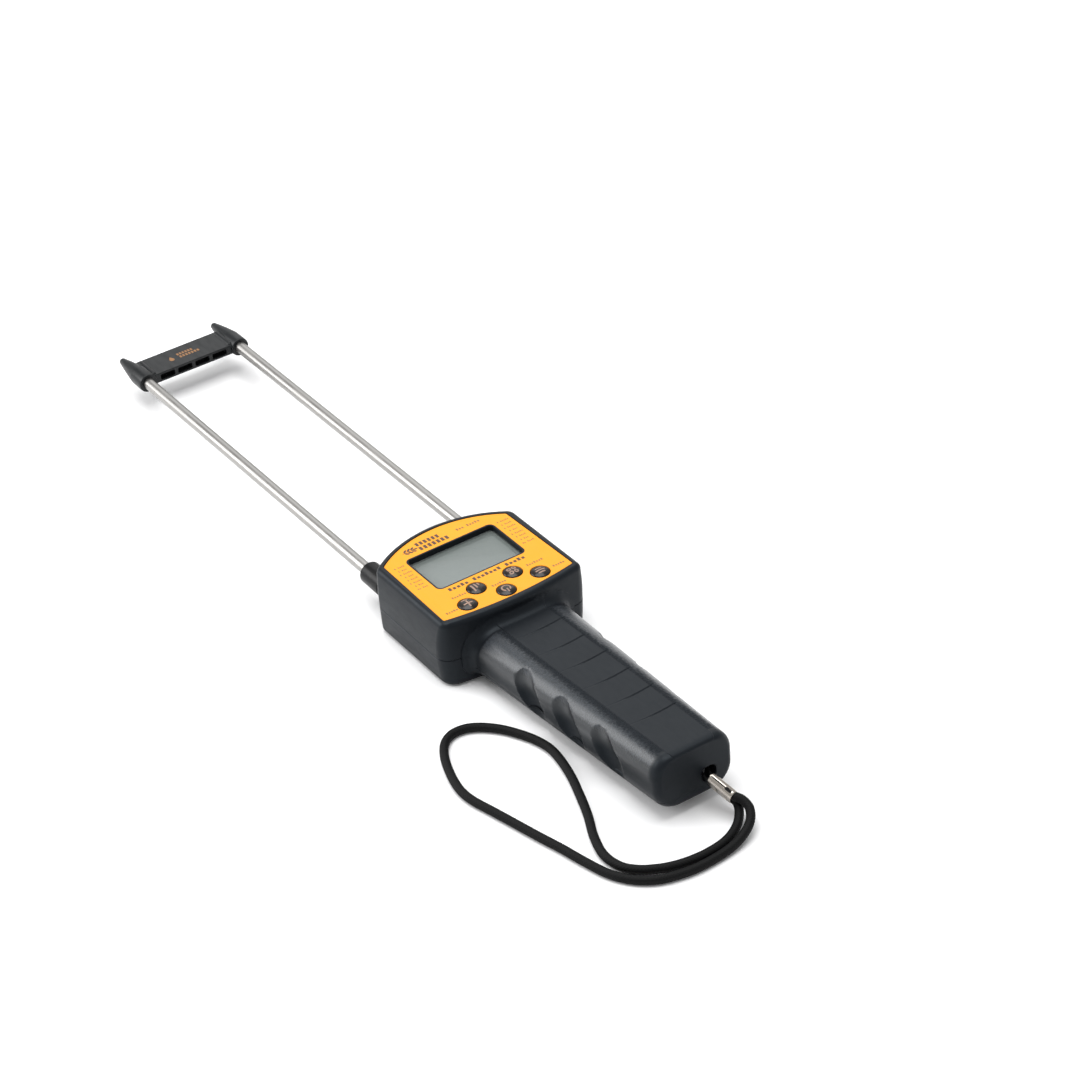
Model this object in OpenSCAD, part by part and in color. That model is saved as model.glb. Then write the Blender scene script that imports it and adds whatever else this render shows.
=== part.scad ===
// Hand-held grain moisture meter: a display head with a pistol-style grip
// and two long probe rods that are pushed into the grain.
// The meter lies on its back. +Y runs along the rods to their tips, +Z is up
// through the display, and the origin is under the middle of the meter.

/* [Head] */
// Width across the head, where its sides bulge most
head_w = 79; // [78:0.5:80]
// Height of the yellow display face above the back
face_z = 35; // [34.5:0.5:36]
// Length of the straight sides of the display face
face_l = 52.5; // [52:0.5:54]
// Width of the display face at the grip end
face_w_low = 70; // [69:0.5:70.5]
// Width of the display face at the probe end
face_w_high = 67.5; // [66:0.5:68]
// Height of the joint between the two halves of the casing in the head
parting_z = 15; // [14.5:0.25:15.5]
// Thickness of the casing walls
wall = 2.2; // [2:0.1:2.4]

/* [Grip] */
// Distance from the display face to the end of the grip
grip_l = 139.4; // [136:0.2:142]
// Width of the grip where it meets the head
grip_w_neck = 52; // [49:0.5:53]
// Width of the grip at its end
grip_w_end = 40; // [39:0.5:42]
// Height of the casing joint in the grip
grip_parting_z = 9.5; // [9:0.25:10]

/* [Probe] */
// Distance from the display face to the points of the probe
tip_l = 323.4; // [300:0.2:330]
// Distance between the two probe rods
rod_spacing = 54.4; // [53.5:0.1:55]
// Outer diameter of a probe rod
rod_d = 6; // [5.8:0.1:6.2]
// Wall thickness of a probe rod
rod_wall = 0.6; // [0.5:0.1:0.9]
// Outer diameter of the collar round a rod
collar_d = 11.6; // [10:0.2:12]

/* [Display] */
// Width of the display window
window_w = 46.6; // [45:0.2:47]
// Height of the display window along the meter
window_l = 28.2; // [27:0.2:28.6]
// Diameter of a push button
button_d = 9; // [8.6:0.1:9.2]
// Travel of a push button
button_travel = 0.8; // [0.6:0.1:0.9]

/* [Battery] */
// Diameter of an AAA cell
cell_d = 10.5; // [10.2:0.1:10.5]
// Length of an AAA cell
cell_l = 44.5; // [43.5:0.25:44.5]

/* [Strap] */
// Diameter of the wrist strap's cord
strap_d = 4.2; // [4:0.1:4.4]

/* [Hidden] */
$fn = 48;

// Every part below is drawn with y = 0 at the display face's lower edge, and
// along() moves it so that the origin is midway between the two ends.
head_y = -(tip_l - grip_l) / 2;
module along() { translate([0, head_y, 0]) children(); }

// ---------- outlines of the head ----------

// The head's sides bulge this far beyond the straight walls of its inside
side_bulge = 2;
half_w = head_w / 2 - side_bulge;
// Radius and centre of the arched end of the display face
face_arch_r = 55.5;
face_arch_y = face_l - sqrt(pow(face_arch_r, 2) - pow(face_w_high / 2, 2));
// Radius and centre of the slightly bowed lower edge of the display face
face_bow_r = 180;
face_bow_y = sqrt(pow(face_bow_r, 2) - pow(face_w_low / 2, 2));
// The casing stands outside the display face by this much at the two ends
arch_margin = 3.2;
bow_margin = 4;
// Radius of the head's corners next to the rods, and of its other two inside
far_r = 5;
near_r = 5;

// Points of an arc from angle a0 to angle a1, from point first of n on
function arc(c, r, a0, a1, n, first = 0) =
  [for (i = [first:n]) let (a = a0 + (a1 - a0) * i / n) c + r * [cos(a), sin(a)]];
function flipped(p) = [for (i = [len(p) - 2:-1:1]) [-p[i].x, p[i].y]];

// Right half of the head's outline, from the lower edge to the arch: pulled in by inset
// all round, with its sides further apart by wider, and less so at the arch. The corner
// next to the grip has the radius r.
function head_half(inset, wider, r) =
  let (
    near_x = half_w + wider - inset - r,
    far_x = half_w + 0.6 * wider - inset - far_r,
    low_r = face_bow_r + bow_margin - inset - r,
    low_c = [near_x, face_bow_y - sqrt(low_r * low_r - near_x * near_x)],
    top_r = face_arch_r + arch_margin - inset - far_r,
    top_c = [far_x, face_arch_y + sqrt(top_r * top_r - far_x * far_x)],
    low_a = atan2(low_c.y - face_bow_y, near_x),
    top_a = atan2(top_c.y - face_arch_y, far_x)
  )
  concat(
    arc([0, face_bow_y], face_bow_r + bow_margin - inset, -90, low_a, 4),
    arc(low_c, r, low_a, 0, 6, 1),
    arc(top_c, far_r, 0, top_a, 6),
    arc([0, face_arch_y], face_arch_r + arch_margin - inset, top_a, 90, 10, 1)
  );

function head_points(inset, wider = 0, r = near_r) =
  let (right = head_half(inset, wider, r)) concat(right, flipped(right));

module head_outline(inset = 0) {
  polygon(head_points(inset));
}

module plate_outline(inset = 0) {
  low = [face_w_low / 2 - inset, inset];
  high = [face_w_high / 2 - inset, face_l - inset * 0.6];
  bow = [0, low.y + sqrt(pow(face_bow_r, 2) - pow(low.x, 2))];
  arch_r = face_arch_r - inset;
  arch = [0, high.y - sqrt(pow(arch_r, 2) - pow(high.x, 2))];
  right = concat(
    arc(bow, face_bow_r, -90, atan2(low.y - bow.y, low.x), 4),
    arc(arch, arch_r, atan2(high.y - arch.y, high.x), 90, 12)
  );
  polygon(concat(right, flipped(right)));
}

// ---------- the casing as one hollow shape ----------

rim_z = face_z + 0.3;
plate_t = 1;
shell_face_z = face_z - plate_t;
shell_under_z = shell_face_z - 2;

// Height of the grip's back and top at a distance y along the meter
function grip_back(y) = 0.5 + 4.2 * (-y - 3) / (grip_l - 3);
function grip_top(y) = 26.5 + 6.5 * (-y - 3) / (grip_l - 3);
function grip_half_w(y) = (grip_w_neck + (grip_w_end - grip_w_neck) * (-y - 3) / (grip_l - 3)) / 2;

// Four thin rounds that a hull turns into one slice of the grip
module grip_slice(y, inset, pull = 0) {
  low_r = 11 - inset;
  top_r = 9 - inset;
  w = grip_half_w(y) - inset - pull;
  translate([0, y, 0]) rotate([90, 0, 0]) for (side = [-1, 1]) {
    translate([side * (w - low_r), grip_back(y) + inset + pull + low_r, 0])
      cylinder(r = low_r, h = 0.1, $fn = 32);
    translate([side * (w - top_r), grip_top(y) - inset - pull - top_r, 0])
      cylinder(r = top_r, h = 0.1, $fn = 32);
  }
}

module grip_outer() {
  hull() {
    grip_slice(-2, 0);
    grip_slice(4 - grip_l, 0);
    grip_slice(0.1 - grip_l, 0, 2.5);
  }
}

module grip_cavity() {
  hull() {
    grip_slice(4, wall);
    grip_slice(wall + 4 - grip_l, wall);
  }
}

// The head's outside at some heights: how far all its sides are pulled in there, how far
// its left and right sides bulge, and the radius of its corners next to the grip
head_shape = [
  [0, 2.6, 0.6, 6], [1.2, 1, 0.6, 6.5], [3, 0.1, 0.8, 7], [9, 0, 1.5, 7], [15, 0, 1.9, 7],
  [20, 0, side_bulge, 6.6], [28, 0, 1.5, 5.6], [31, 0.2, 1.1, 5], [33.4, 0.5, 0.8, 4.2],
  [34.6, 1.2, 0.5, 3.4], [rim_z, 2, 0.3, 2.8]
];

module head_outer() {
  loft([for (s = head_shape) [for (p = head_points(s[1], s[2], s[3])) [p.x, p.y, s[0]]]]);
}

// A solid through closed rings of points, each ring level and with as many points
module loft(rings) {
  n = len(rings[0]);
  last = (len(rings) - 1) * n;
  sides = [for (i = [0:len(rings) - 2], k = [0:n - 1])
    let (a = i * n + k, b = i * n + (k + 1) % n)
    each [[a, a + n, b], [b, a + n, b + n]]];
  caps = [[for (k = [0:n - 1]) k], [for (k = [n - 1:-1:0]) last + k]];
  polyhedron(points = [for (r = rings) each r], faces = concat(caps, sides));
}

module head_cavity() {
  translate([0, 0, wall]) linear_extrude(shell_under_z - wall) head_outline(wall);
}

// The joint between the halves steps down from the head to the grip
parting_line = [[-200, grip_parting_z], [-12, grip_parting_z], [-7, parting_z], [100, parting_z]];

module above_parting() {
  rotate([90, 0, 90]) linear_extrude(120, center = true)
    polygon(concat(parting_line, [[100, 60], [-200, 60]]));
}

module below_parting() {
  rotate([90, 0, 90]) linear_extrude(120, center = true)
    polygon(concat(parting_line, [[100, -20], [-200, -20]]));
}

// ---------- rods ----------

rod_x = rod_spacing / 2;
rod_z = parting_z;
rod_r = rod_d / 2;
rod_start = 42;
rod_end = tip_l - 27.4;
collar_from = 56.5;
collar_to = 79.2;

// A round bar along +Y from y = from to y = to
module rod_shape(x, from, to, r, z = rod_z) {
  translate([x, from, z]) rotate([-90, 0, 0]) cylinder(r = r, h = to - from);
}

module probe_rod(side) {
  along() color("silver") difference() {
    rod_shape(side * rod_x, rod_start, rod_end, rod_r);
    rod_shape(side * rod_x, rod_start - 1, rod_end + 1, rod_r - rod_wall);
  }
}

module rod_collar(side) {
  along() color([0.1, 0.1, 0.1]) difference() {
    rod_shape(side * rod_x, collar_from, collar_to, collar_d / 2);
    rod_shape(side * rod_x, collar_from - 1, collar_to + 1, rod_r);
  }
}

// ---------- screws ----------

screw_r = 1.25;
screw_head_r = 2.5;
screw_head_h = 2;
pilot_r = 1.3;
post_r = 3;

// Each case screw: x, y, underside of its head, top of its shank
case_screw_at = [
  [-30, 7, 3.8, 22], [30, 7, 3.8, 22], [-11, 57, 3.8, 22], [11, 57, 3.8, 22],
  [-11, -127, 7.6, 23], [11, -127, 7.6, 23]
];
board_screw_at = [[-30, 19], [30, 19], [-30, 39], [30, 39]];
block_screw_at = [[-16, 50.5], [16, 50.5]];

function joint_z(y) = y < -12 ? grip_parting_z : parting_z;

module front_posts() {
  for (s = case_screw_at)
    translate([s.x, s.y, joint_z(s.y)])
      cylinder(r = post_r, h = (s.y < -12 ? grip_top(s.y) - 1 : shell_face_z - 0.5) - joint_z(s.y));
  for (s = board_screw_at)
    translate([s.x, s.y, board_z + board_t])
      cylinder(r = 2.5, h = shell_face_z - 0.5 - board_z - board_t);
}

module front_pilots() {
  for (s = case_screw_at)
    translate([s.x, s.y, joint_z(s.y) - 1]) cylinder(r = pilot_r, h = s[3] + 1.5 - joint_z(s.y));
  for (s = board_screw_at)
    translate([s.x, s.y, board_z]) cylinder(r = 1.05, h = 8.5);
}

module rear_posts() {
  for (s = case_screw_at)
    translate([s.x, s.y, s[2] - 2.4]) cylinder(r = post_r + 0.4, h = joint_z(s.y) - s[2] + 2.4);
  for (s = block_screw_at)
    translate([s.x, s.y, 1]) cylinder(r = post_r, h = block_z - 1);
}

module rear_screw_holes() {
  for (s = case_screw_at) {
    translate([s.x, s.y, -1]) cylinder(r = screw_head_r + 0.3, h = s[2] + 1);
    translate([s.x, s.y, -1]) cylinder(r = screw_r + 0.25, h = 20);
  }
  for (s = block_screw_at)
    translate([s.x, s.y, 3]) cylinder(r = 1.05, h = block_z);
}

module case_screws() {
  along() color("dimgray") for (s = case_screw_at) {
    difference() {
      translate([s.x, s.y, s[2] - screw_head_h]) cylinder(r = screw_head_r, h = screw_head_h);
      translate([s.x, s.y, s[2] - screw_head_h - 0.1]) cross_slot(3, 0.7, 1.1);
    }
    translate([s.x, s.y, s[2]]) cylinder(r = screw_r, h = s[3] - s[2]);
  }
}

// The cross-shaped recess in a screw's head
module cross_slot(l, w, h) {
  for (a = [0, 90]) rotate([0, 0, a]) translate([-l / 2, -w / 2, 0]) cube([l, w, h]);
}

// ---------- casing halves ----------

door_from = -17;
door_to = -116.5;
door_w = 28;
door_gap = 0.35;

pin_x = 7;
pin_y = 4.6 - grip_l;
pin_z = 15;
recess_w = 8;
recess_h = 7.6;
recess_l = 7.6;

module strap_recess(grow = 0) {
  translate([pin_x - recess_w / 2 - grow, -grip_l - 1, pin_z - recess_h / 2 - grow])
    cube([recess_w + 2 * grow, recess_l + 1 + grow, recess_h + 2 * grow]);
}

// The window's opening, made larger all round by grow
module window_cut(grow, h) {
  translate([-window_w / 2 - grow, window_y - window_l / 2 - grow, 0])
    cube([window_w + 2 * grow, window_l + 2 * grow, h]);
}

module front_shell() {
  along() color([0.16, 0.17, 0.19]) difference() {
    union() {
      intersection() {
        difference() {
          union() {
            head_outer();
            grip_outer();
          }
          head_cavity();
          grip_cavity();
        }
        above_parting();
      }
      front_posts();
      intersection() {
        strap_recess(1.4);
        grip_outer();
      }
    }
    translate([0, 0, shell_face_z]) linear_extrude(3) plate_outline();
    translate([0, 0, shell_under_z - 1]) window_cut(0, 5);
    for (b = button_at)
      translate([b.x, b.y, shell_under_z - 1]) cylinder(r = button_d / 2 + 0.3, h = 5);
    for (side = [-1, 1]) rod_shape(side * rod_x, collar_from - 1.5, collar_to - 2, collar_d / 2);
    front_pilots();
    strap_recess();
    translate([pin_x, pin_y, pin_z - strap_pin_l / 2]) cylinder(r = strap_pin_r, h = strap_pin_l);
  }
}

module rear_shell() {
  along() color([0.16, 0.17, 0.19]) difference() {
    union() {
      intersection() {
        difference() {
          union() {
            head_outer();
            grip_outer();
          }
          head_cavity();
          grip_cavity();
        }
        below_parting();
      }
      rear_posts();
    }
    for (side = [-1, 1]) rod_shape(side * rod_x, collar_from - 1.5, collar_to - 2, collar_d / 2);
    rear_screw_holes();
    translate([-label_w / 2, label_y - label_l / 2, -0.1]) cube([label_w, label_l, label_t + 0.2]);
    translate([-door_w / 2 - door_gap, door_to - door_gap, -5])
      cube([door_w + 2 * door_gap, door_from - door_to + 2 * door_gap, 14.4]);
  }
}

// ---------- display face ----------

window_y = 35.7;
// Push buttons, in the order limit, power, auto, adjust, species
button_at = [[-19.7, 3.9], [0, 2], [19.7, 3.9], [-9.9, 11.7], [9.9, 11.7]];

module faceplate() {
  along() color([1, 0.78, 0.24]) translate([0, 0, shell_face_z]) difference() {
    linear_extrude(plate_t) plate_outline(0.15);
    translate([0, 0, -1]) window_cut(0, 4);
    for (b = button_at) translate([b.x, b.y, -1]) cylinder(r = button_d / 2 + 0.3, h = 4);
  }
}

lens_t = 1;
lens_z = shell_under_z - lens_t;

module lcd_window() {
  along() color([0.6, 0.66, 0.64, 0.5]) translate([0, 0, lens_z]) window_cut(1.6, lens_t);
}

board_t = 1.6;
board_z = shell_under_z - 10;
glass_t = 2.6;
glass_z = lens_z - 0.7 - glass_t;
glass_margin = 2.4;

module lcd_glass() {
  along() color([0.56, 0.6, 0.55]) translate([0, 0, glass_z]) window_cut(glass_margin, glass_t);
}

module lcd_holder() {
  inner = glass_margin + 0.1;
  base = board_z + board_t;
  along() color([0.12, 0.12, 0.12]) difference() {
    translate([0, 0, base]) window_cut(glass_margin + 1.5, glass_z + glass_t + 0.4 - base);
    translate([0, 0, board_z]) window_cut(inner, glass_z + glass_t - board_z);
    translate([0, 0, board_z]) window_cut(0.8, 20);
  }
}

module lcd_connector_strips() {
  strip_w = 2;
  along() color([0.85, 0.45, 0.5]) for (side = [-1, 1])
    translate([-window_w / 2, window_y + side * (window_l / 2 + 1) - strip_w / 2, board_z + board_t])
      cube([window_w, strip_w, glass_z - board_z - board_t]);
}

// ---------- electronics ----------

module main_board() {
  along() color([0.1, 0.35, 0.18]) translate([0, 0, board_z]) difference() {
    linear_extrude(board_t) union() {
      translate([-26, -1.2]) square([52, 54.2]);
      translate([-33, 14]) square([66, 30]);
    }
    for (s = board_screw_at) translate([s.x, s.y, -1]) cylinder(r = 1.3, h = 4);
  }
}

module board_components() {
  under = board_z;
  along() color([0.13, 0.13, 0.14]) {
    translate([-6, 26, under - 1.6]) cube([12, 12, 1.6]);
    translate([-19, 20, under - 1.3]) cube([5, 6, 1.3]);
    translate([12, 20, under - 1.3]) cube([4, 5, 1.3]);
    translate([-2, 17, under - 2.2]) cube([10, 3.6, 2.2]);
    translate([14, 33, under - 4]) cylinder(r = 2.5, h = 4);
    for (i = [0:4]) translate([-20 + 3 * i, 42, under - 0.7]) cube([1.6, 0.9, 0.7]);
    for (i = [0:5]) translate([6 + 3 * i, 44, under - 0.7]) cube([1.6, 0.9, 0.7]);
  }
}

switch_h = 3.2;
plunger_h = 0.9;

module tact_switches() {
  top = board_z + board_t;
  along() color([0.2, 0.2, 0.21]) for (b = button_at) translate([b.x, b.y, top]) {
    translate([-3, -3, 0]) cube([6, 6, switch_h]);
    translate([0, 0, switch_h]) cylinder(r = 1.6, h = plunger_h);
  }
}

module buzzer() {
  along() color([0.08, 0.08, 0.09]) translate([-16, 8, board_z - 4.5]) difference() {
    cylinder(r = 6, h = 4.5);
    translate([0, 0, -1]) cylinder(r = 1, h = 2.5);
  }
}

// A push button: domed cap, retaining flange under the casing's face and stem
flange_t = 1;
dome_h = 1;

module push_button(i) {
  b = button_at[i];
  flange_top = shell_under_z - 0.35;
  dome_r = (pow(button_d / 2, 2) + dome_h * dome_h) / (2 * dome_h);
  plunger_z = board_z + board_t + switch_h + plunger_h;
  stem_z = plunger_z + button_travel + 0.3;
  along() color([0.1, 0.09, 0.08]) translate([b.x, b.y, 0]) {
    intersection() {
      translate([0, 0, flange_top]) cylinder(r = button_d / 2, h = face_z + 0.2 + dome_h - flange_top);
      translate([0, 0, face_z + 0.2 + dome_h - dome_r]) sphere(r = dome_r, $fn = 96);
    }
    translate([0, 0, flange_top - flange_t]) cylinder(r = button_d / 2 + 0.7, h = flange_t);
    translate([0, 0, stem_z]) cylinder(r = 2, h = flange_top - flange_t - stem_z);
  }
}

// ---------- rod mounting inside the head ----------

block_z = 8.5;
block_h = 12.5;

module rod_block() {
  along() color([0.85, 0.84, 0.8]) difference() {
    intersection() {
      translate([-35, 45, block_z]) cube([70, 11, block_h]);
      linear_extrude(40) head_outline(wall + 0.3);
    }
    for (side = [-1, 1]) rod_shape(side * rod_x, 44, 58, rod_r);
    for (s = block_screw_at) {
      translate([s.x, s.y, block_z - 1]) cylinder(r = 1.3, h = 20);
      translate([s.x, s.y, block_z + 8]) cylinder(r = 2.4, h = 10);
    }
    translate([-15.5, 53.3, block_z - 1]) cube([31, 5, 20]);
  }
}

module rod_block_screws() {
  along() color("gray") for (s = block_screw_at) {
    difference() {
      union() {
        translate([s.x, s.y, 4]) cylinder(r = 1, h = block_z + 4.5);
        translate([s.x, s.y, block_z + 8]) cylinder(r = 2, h = 1.6);
      }
      translate([s.x, s.y, block_z + 8.8]) cross_slot(2.4, 0.6, 1.2);
    }
  }
}

lug_t = 0.8;

module rod_lug(side) {
  along() color([0.8, 0.66, 0.36]) {
    rod_shape(side * rod_x, rod_start - lug_t, rod_start, rod_r + 0.6);
    translate([side * (rod_x - 3.9) - 1.7, rod_start - lug_t, rod_z - 1.2]) cube([3.4, lug_t, 2.4]);
  }
}

// ---------- swept wires and cord ----------

function unit(v) = v / norm(v);
function tangent(p, i) = unit(p[min(i + 1, len(p) - 1)] - p[max(i - 1, 0)]);

// One point on a smooth curve through b and c, with a and d outside them
function smooth(a, b, c, d, t) =
  0.5 * (2 * b + (c - a) * t + (2 * a - 5 * b + 4 * c - d) * t * t + (3 * b - a - 3 * c + d) * t * t * t);

function curve(p, steps) = concat(
  [for (i = [0:len(p) - 2], k = [0:steps - 1])
    smooth(p[max(i - 1, 0)], p[i], p[i + 1], p[min(i + 2, len(p) - 1)], k / steps)],
  [p[len(p) - 1]]
);

// A round tube along the points p, closed at both ends
module sweep(p, r, sides, across = [0, 0, 1]) {
  n = len(p);
  rings = [for (i = [0:n - 1])
    let (t = tangent(p, i), u = unit(cross(t, across)), v = cross(u, t))
    for (k = [0:sides - 1]) let (a = 360 * k / sides) p[i] + r * (cos(a) * u + sin(a) * v)];
  skin = [for (i = [0:n - 2], k = [0:sides - 1])
    let (a = i * sides + k, b = i * sides + (k + 1) % sides)
    each [[a, b, b + sides], [a, b + sides, a + sides]]];
  caps = [for (k = [1:sides - 2]) each
    [[0, k + 1, k], [(n - 1) * sides, (n - 1) * sides + k, (n - 1) * sides + k + 1]]];
  polyhedron(points = rings, faces = concat(skin, caps));
}

wire_r = 0.6;

module probe_wire(side) {
  x = side * (rod_x - 4.6);
  y = rod_start - lug_t;
  color([0.9, 0.9, 0.88]) along()
    sweep(curve([
      [x, y - 0.1, rod_z], [x, y - 1.2, rod_z], [x - side, y - 4, rod_z + 1.5],
      [x - 2 * side, y - 6, rod_z + 4], [x - 2 * side, y - 6, board_z - 0.05]
    ], 3), wire_r, 8, [1, 0, 0]);
}

// ---------- probe tip ----------

bar_l = 17.5;
bar_t = 5.4;
cone_from = rod_end - 2;
cone_l = tip_l - cone_from;
nose_r = 1.7;
cone_r = 5;

module tip_bridge() {
  along() color([0.14, 0.14, 0.15]) difference() {
    union() {
      for (side = [-1, 1]) translate([side * rod_x, cone_from, rod_z]) rotate([-90, 0, 0]) {
        cylinder(r = cone_r, h = 9);
        translate([0, 0, 9]) cylinder(r1 = cone_r, r2 = nose_r, h = cone_l - 9 - nose_r);
        translate([0, 0, cone_l - nose_r]) sphere(r = nose_r);
      }
      translate([-rod_x, cone_from + 1, rod_z - bar_t / 2]) cube([rod_spacing, bar_l, bar_t]);
    }
    for (side = [-1, 1]) rod_shape(side * rod_x, cone_from - 1, rod_end, rod_r);
  }
}

// ---------- battery compartment ----------

cell_r = cell_d / 2;
cell_x = 6;
cell_z = 13.2;
tray_from = -19;
tray_l = 95;
tray_wall = 1.3;
spring_l = 4.6;
contact_t = 0.4;

module battery_holder() {
  half = cell_x + cell_r + 0.4;
  inside_z = cell_z + cell_r + 0.4;
  base_z = grip_parting_z + 0.1;
  along() color([0.13, 0.13, 0.14]) difference() {
    translate([-half - tray_wall, tray_from - tray_l - tray_wall, base_z])
      cube([2 * (half + tray_wall), tray_l + 2 * tray_wall, inside_z + tray_wall - base_z]);
    translate([-half, tray_from - tray_l, 0]) cube([2 * half, tray_l, inside_z]);
    for (side = [-1, 1]) translate([side * cell_x - 1.2, -1 + tray_from, cell_z - 1.2]) cube([2.4, 5, 2.4]);
  }
}

nub_r = 1.8;
nub_l = 1;

// A cell whose raised end points along +Y when dir is 1 and along -Y when it is -1
module cell(x, from, dir) {
  to = from + cell_l;
  along() color([0.72, 0.6, 0.2]) {
    rod_shape(x, from, to, nub_r, cell_z);
    rod_shape(x, dir > 0 ? from : from + nub_l, dir > 0 ? to - nub_l : to, cell_r, cell_z);
  }
}

// Where the spring end and the flat end of the column of cells on one side begin
spring_end = tray_from - contact_t - spring_l;
flat_end = tray_from - contact_t;

module battery_1() { cell(-cell_x, spring_end - cell_l, -1); }
module battery_2() { cell(-cell_x, spring_end - 2 * cell_l, -1); }
module battery_3() { cell(cell_x, flat_end - cell_l, 1); }
module battery_4() { cell(cell_x, flat_end - 2 * cell_l, 1); }

// A coil that narrows from the contact plate to the cell
module coil(from, to, turns = 3, r1 = 3.6, r2 = 2.6) {
  steps = turns * 10;
  across = from < to ? 1 : -1;
  wire = 0.35;
  a = from + across * wire;
  b = to - across * wire;
  sweep([for (i = [0:steps]) let (t = i / steps, r = r1 + (r2 - r1) * t)
    [r * cos(360 * turns * t), a + (b - a) * t, r * sin(360 * turns * t)]], wire, 6, [0, 1, 0]);
}

module battery_springs() {
  along() color("silver") {
    translate([-cell_x, 0, cell_z]) coil(tray_from - contact_t, spring_end);
    translate([cell_x, 0, cell_z]) coil(tray_from - tray_l + contact_t, flat_end - 2 * cell_l);
  }
}

module battery_contacts() {
  along() color("silver") {
    for (side = [-1, 1])
      translate([side * cell_x - 4, tray_from - contact_t, cell_z - 4]) cube([8, contact_t, 8]);
    translate([-cell_x - 4, tray_from - tray_l, cell_z - 4]) cube([2 * cell_x + 8, contact_t, 8]);
  }
}

module battery_wire(side) {
  sweep(curve([
    [side * cell_x, tray_from + 0.05, cell_z], [side * cell_x, tray_from + 3, cell_z],
    [side * 5, tray_from + 10, cell_z + 1], [side * 4, tray_from + 17, cell_z + 3],
    [side * 4, tray_from + 20.5, board_z - 3], [side * 4, tray_from + 20.5, board_z - 0.05]
  ], 3), 0.8, 8, [1, 0, 0]);
}

// The door takes its curved outside from the grip, and hooks under the casing's
// edge with two tongues at the head end. A snap tab holds its other end.
tongue_w = 5;
tongue_x = 8;

module battery_door() {
  along() color([0.16, 0.17, 0.19]) {
    difference() {
      intersection() {
        grip_outer();
        translate([-door_w / 2, door_to, -5]) cube([door_w, door_from - door_to, 13]);
      }
      grip_cavity();
      for (i = [0:4]) translate([-7, door_to + 5 + 2 * i, grip_back(door_to) - 4.55]) cube([14, 0.8, 5]);
    }
    for (side = [-1, 1]) translate([side * tongue_x - tongue_w / 2, door_from, grip_back(door_from)]) {
      translate([0, -3, 1.5]) cube([tongue_w, 3, 1.4]);
      translate([0, -1.5, 2.7]) cube([tongue_w, 2.6, 1]);
    }
    translate([-4, door_to + 0.6, grip_back(door_to) + 1.5]) cube([8, 1, 2.6]);
  }
}

// ---------- back of the head ----------

label_w = 40;
label_l = 24;
label_t = 0.3;
label_y = 28;

module rear_label() {
  along() color([0.75, 0.76, 0.78]) translate([-label_w / 2 + 0.1, label_y - label_l / 2 + 0.1, 0.1])
    cube([label_w - 0.2, label_l - 0.2, label_t]);
}

module board_screws() {
  along() color("gray") for (s = board_screw_at) translate([s.x, s.y, board_z]) {
    difference() {
      union() {
        translate([0, 0, -0.4]) cylinder(r = 1, h = 7.9);
        translate([0, 0, -1.4]) cylinder(r = 2, h = 1.4);
      }
      translate([0, 0, -1.6]) cross_slot(2.4, 0.6, 0.9);
    }
  }
}

// ---------- wrist strap ----------

strap_pin_r = 1;

strap_pin_l = recess_h + 2.4;

module strap_pin() {
  along() color("silver") translate([pin_x, pin_y, pin_z - strap_pin_l / 2])
    cylinder(r = strap_pin_r, h = strap_pin_l);
}

// The metal crimp points down and back from the grip's recess to the surface.
// Its flat tube holds the two ends of the strap one above the other.
crimp_from = [6.2, -233.4, 13.5];
crimp_to = [9.5, -245, 8.9];
crimp_axis = unit(crimp_to - crimp_from);
crimp_l = norm(crimp_to - crimp_from);
crimp_w = 2.4;
crimp_lean = 25;

module crimp_frame() {
  translate(crimp_from)
    rotate([0, acos(crimp_axis.z), atan2(crimp_axis.y, crimp_axis.x)])
      rotate([0, 0, crimp_lean]) children();
}

module strap_crimp() {
  color("silver") crimp_frame() linear_extrude(crimp_l) union() {
    for (side = [-1, 1]) translate([side * strap_d / 2, 0]) circle(r = crimp_w);
    translate([-strap_d / 2, -crimp_w]) square([strap_d, 2 * crimp_w]);
  }
}

// A thin loop of cord round the pin, with both its ends in the crimp
tether_r = 0.7;

module strap_tether() {
  aside = 1.6 * unit([crimp_axis.y, -crimp_axis.x, 0]);
  inside = crimp_from + 0.5 * crimp_axis;
  outside = crimp_from - 1.2 * crimp_axis;
  pin = [pin_x, pin_y + head_y, pin_z];
  color([0.08, 0.08, 0.08]) sweep(curve([
    inside - aside, outside - aside, pin + [1.9, -0.4, 0], pin + [1.3, 1.5, 0], pin + [0, 2, 0],
    pin + [-1.3, 1.5, 0], pin + [-1.9, -0.4, 0], outside + aside, inside + aside
  ], 3), tether_r, 8);
}

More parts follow.
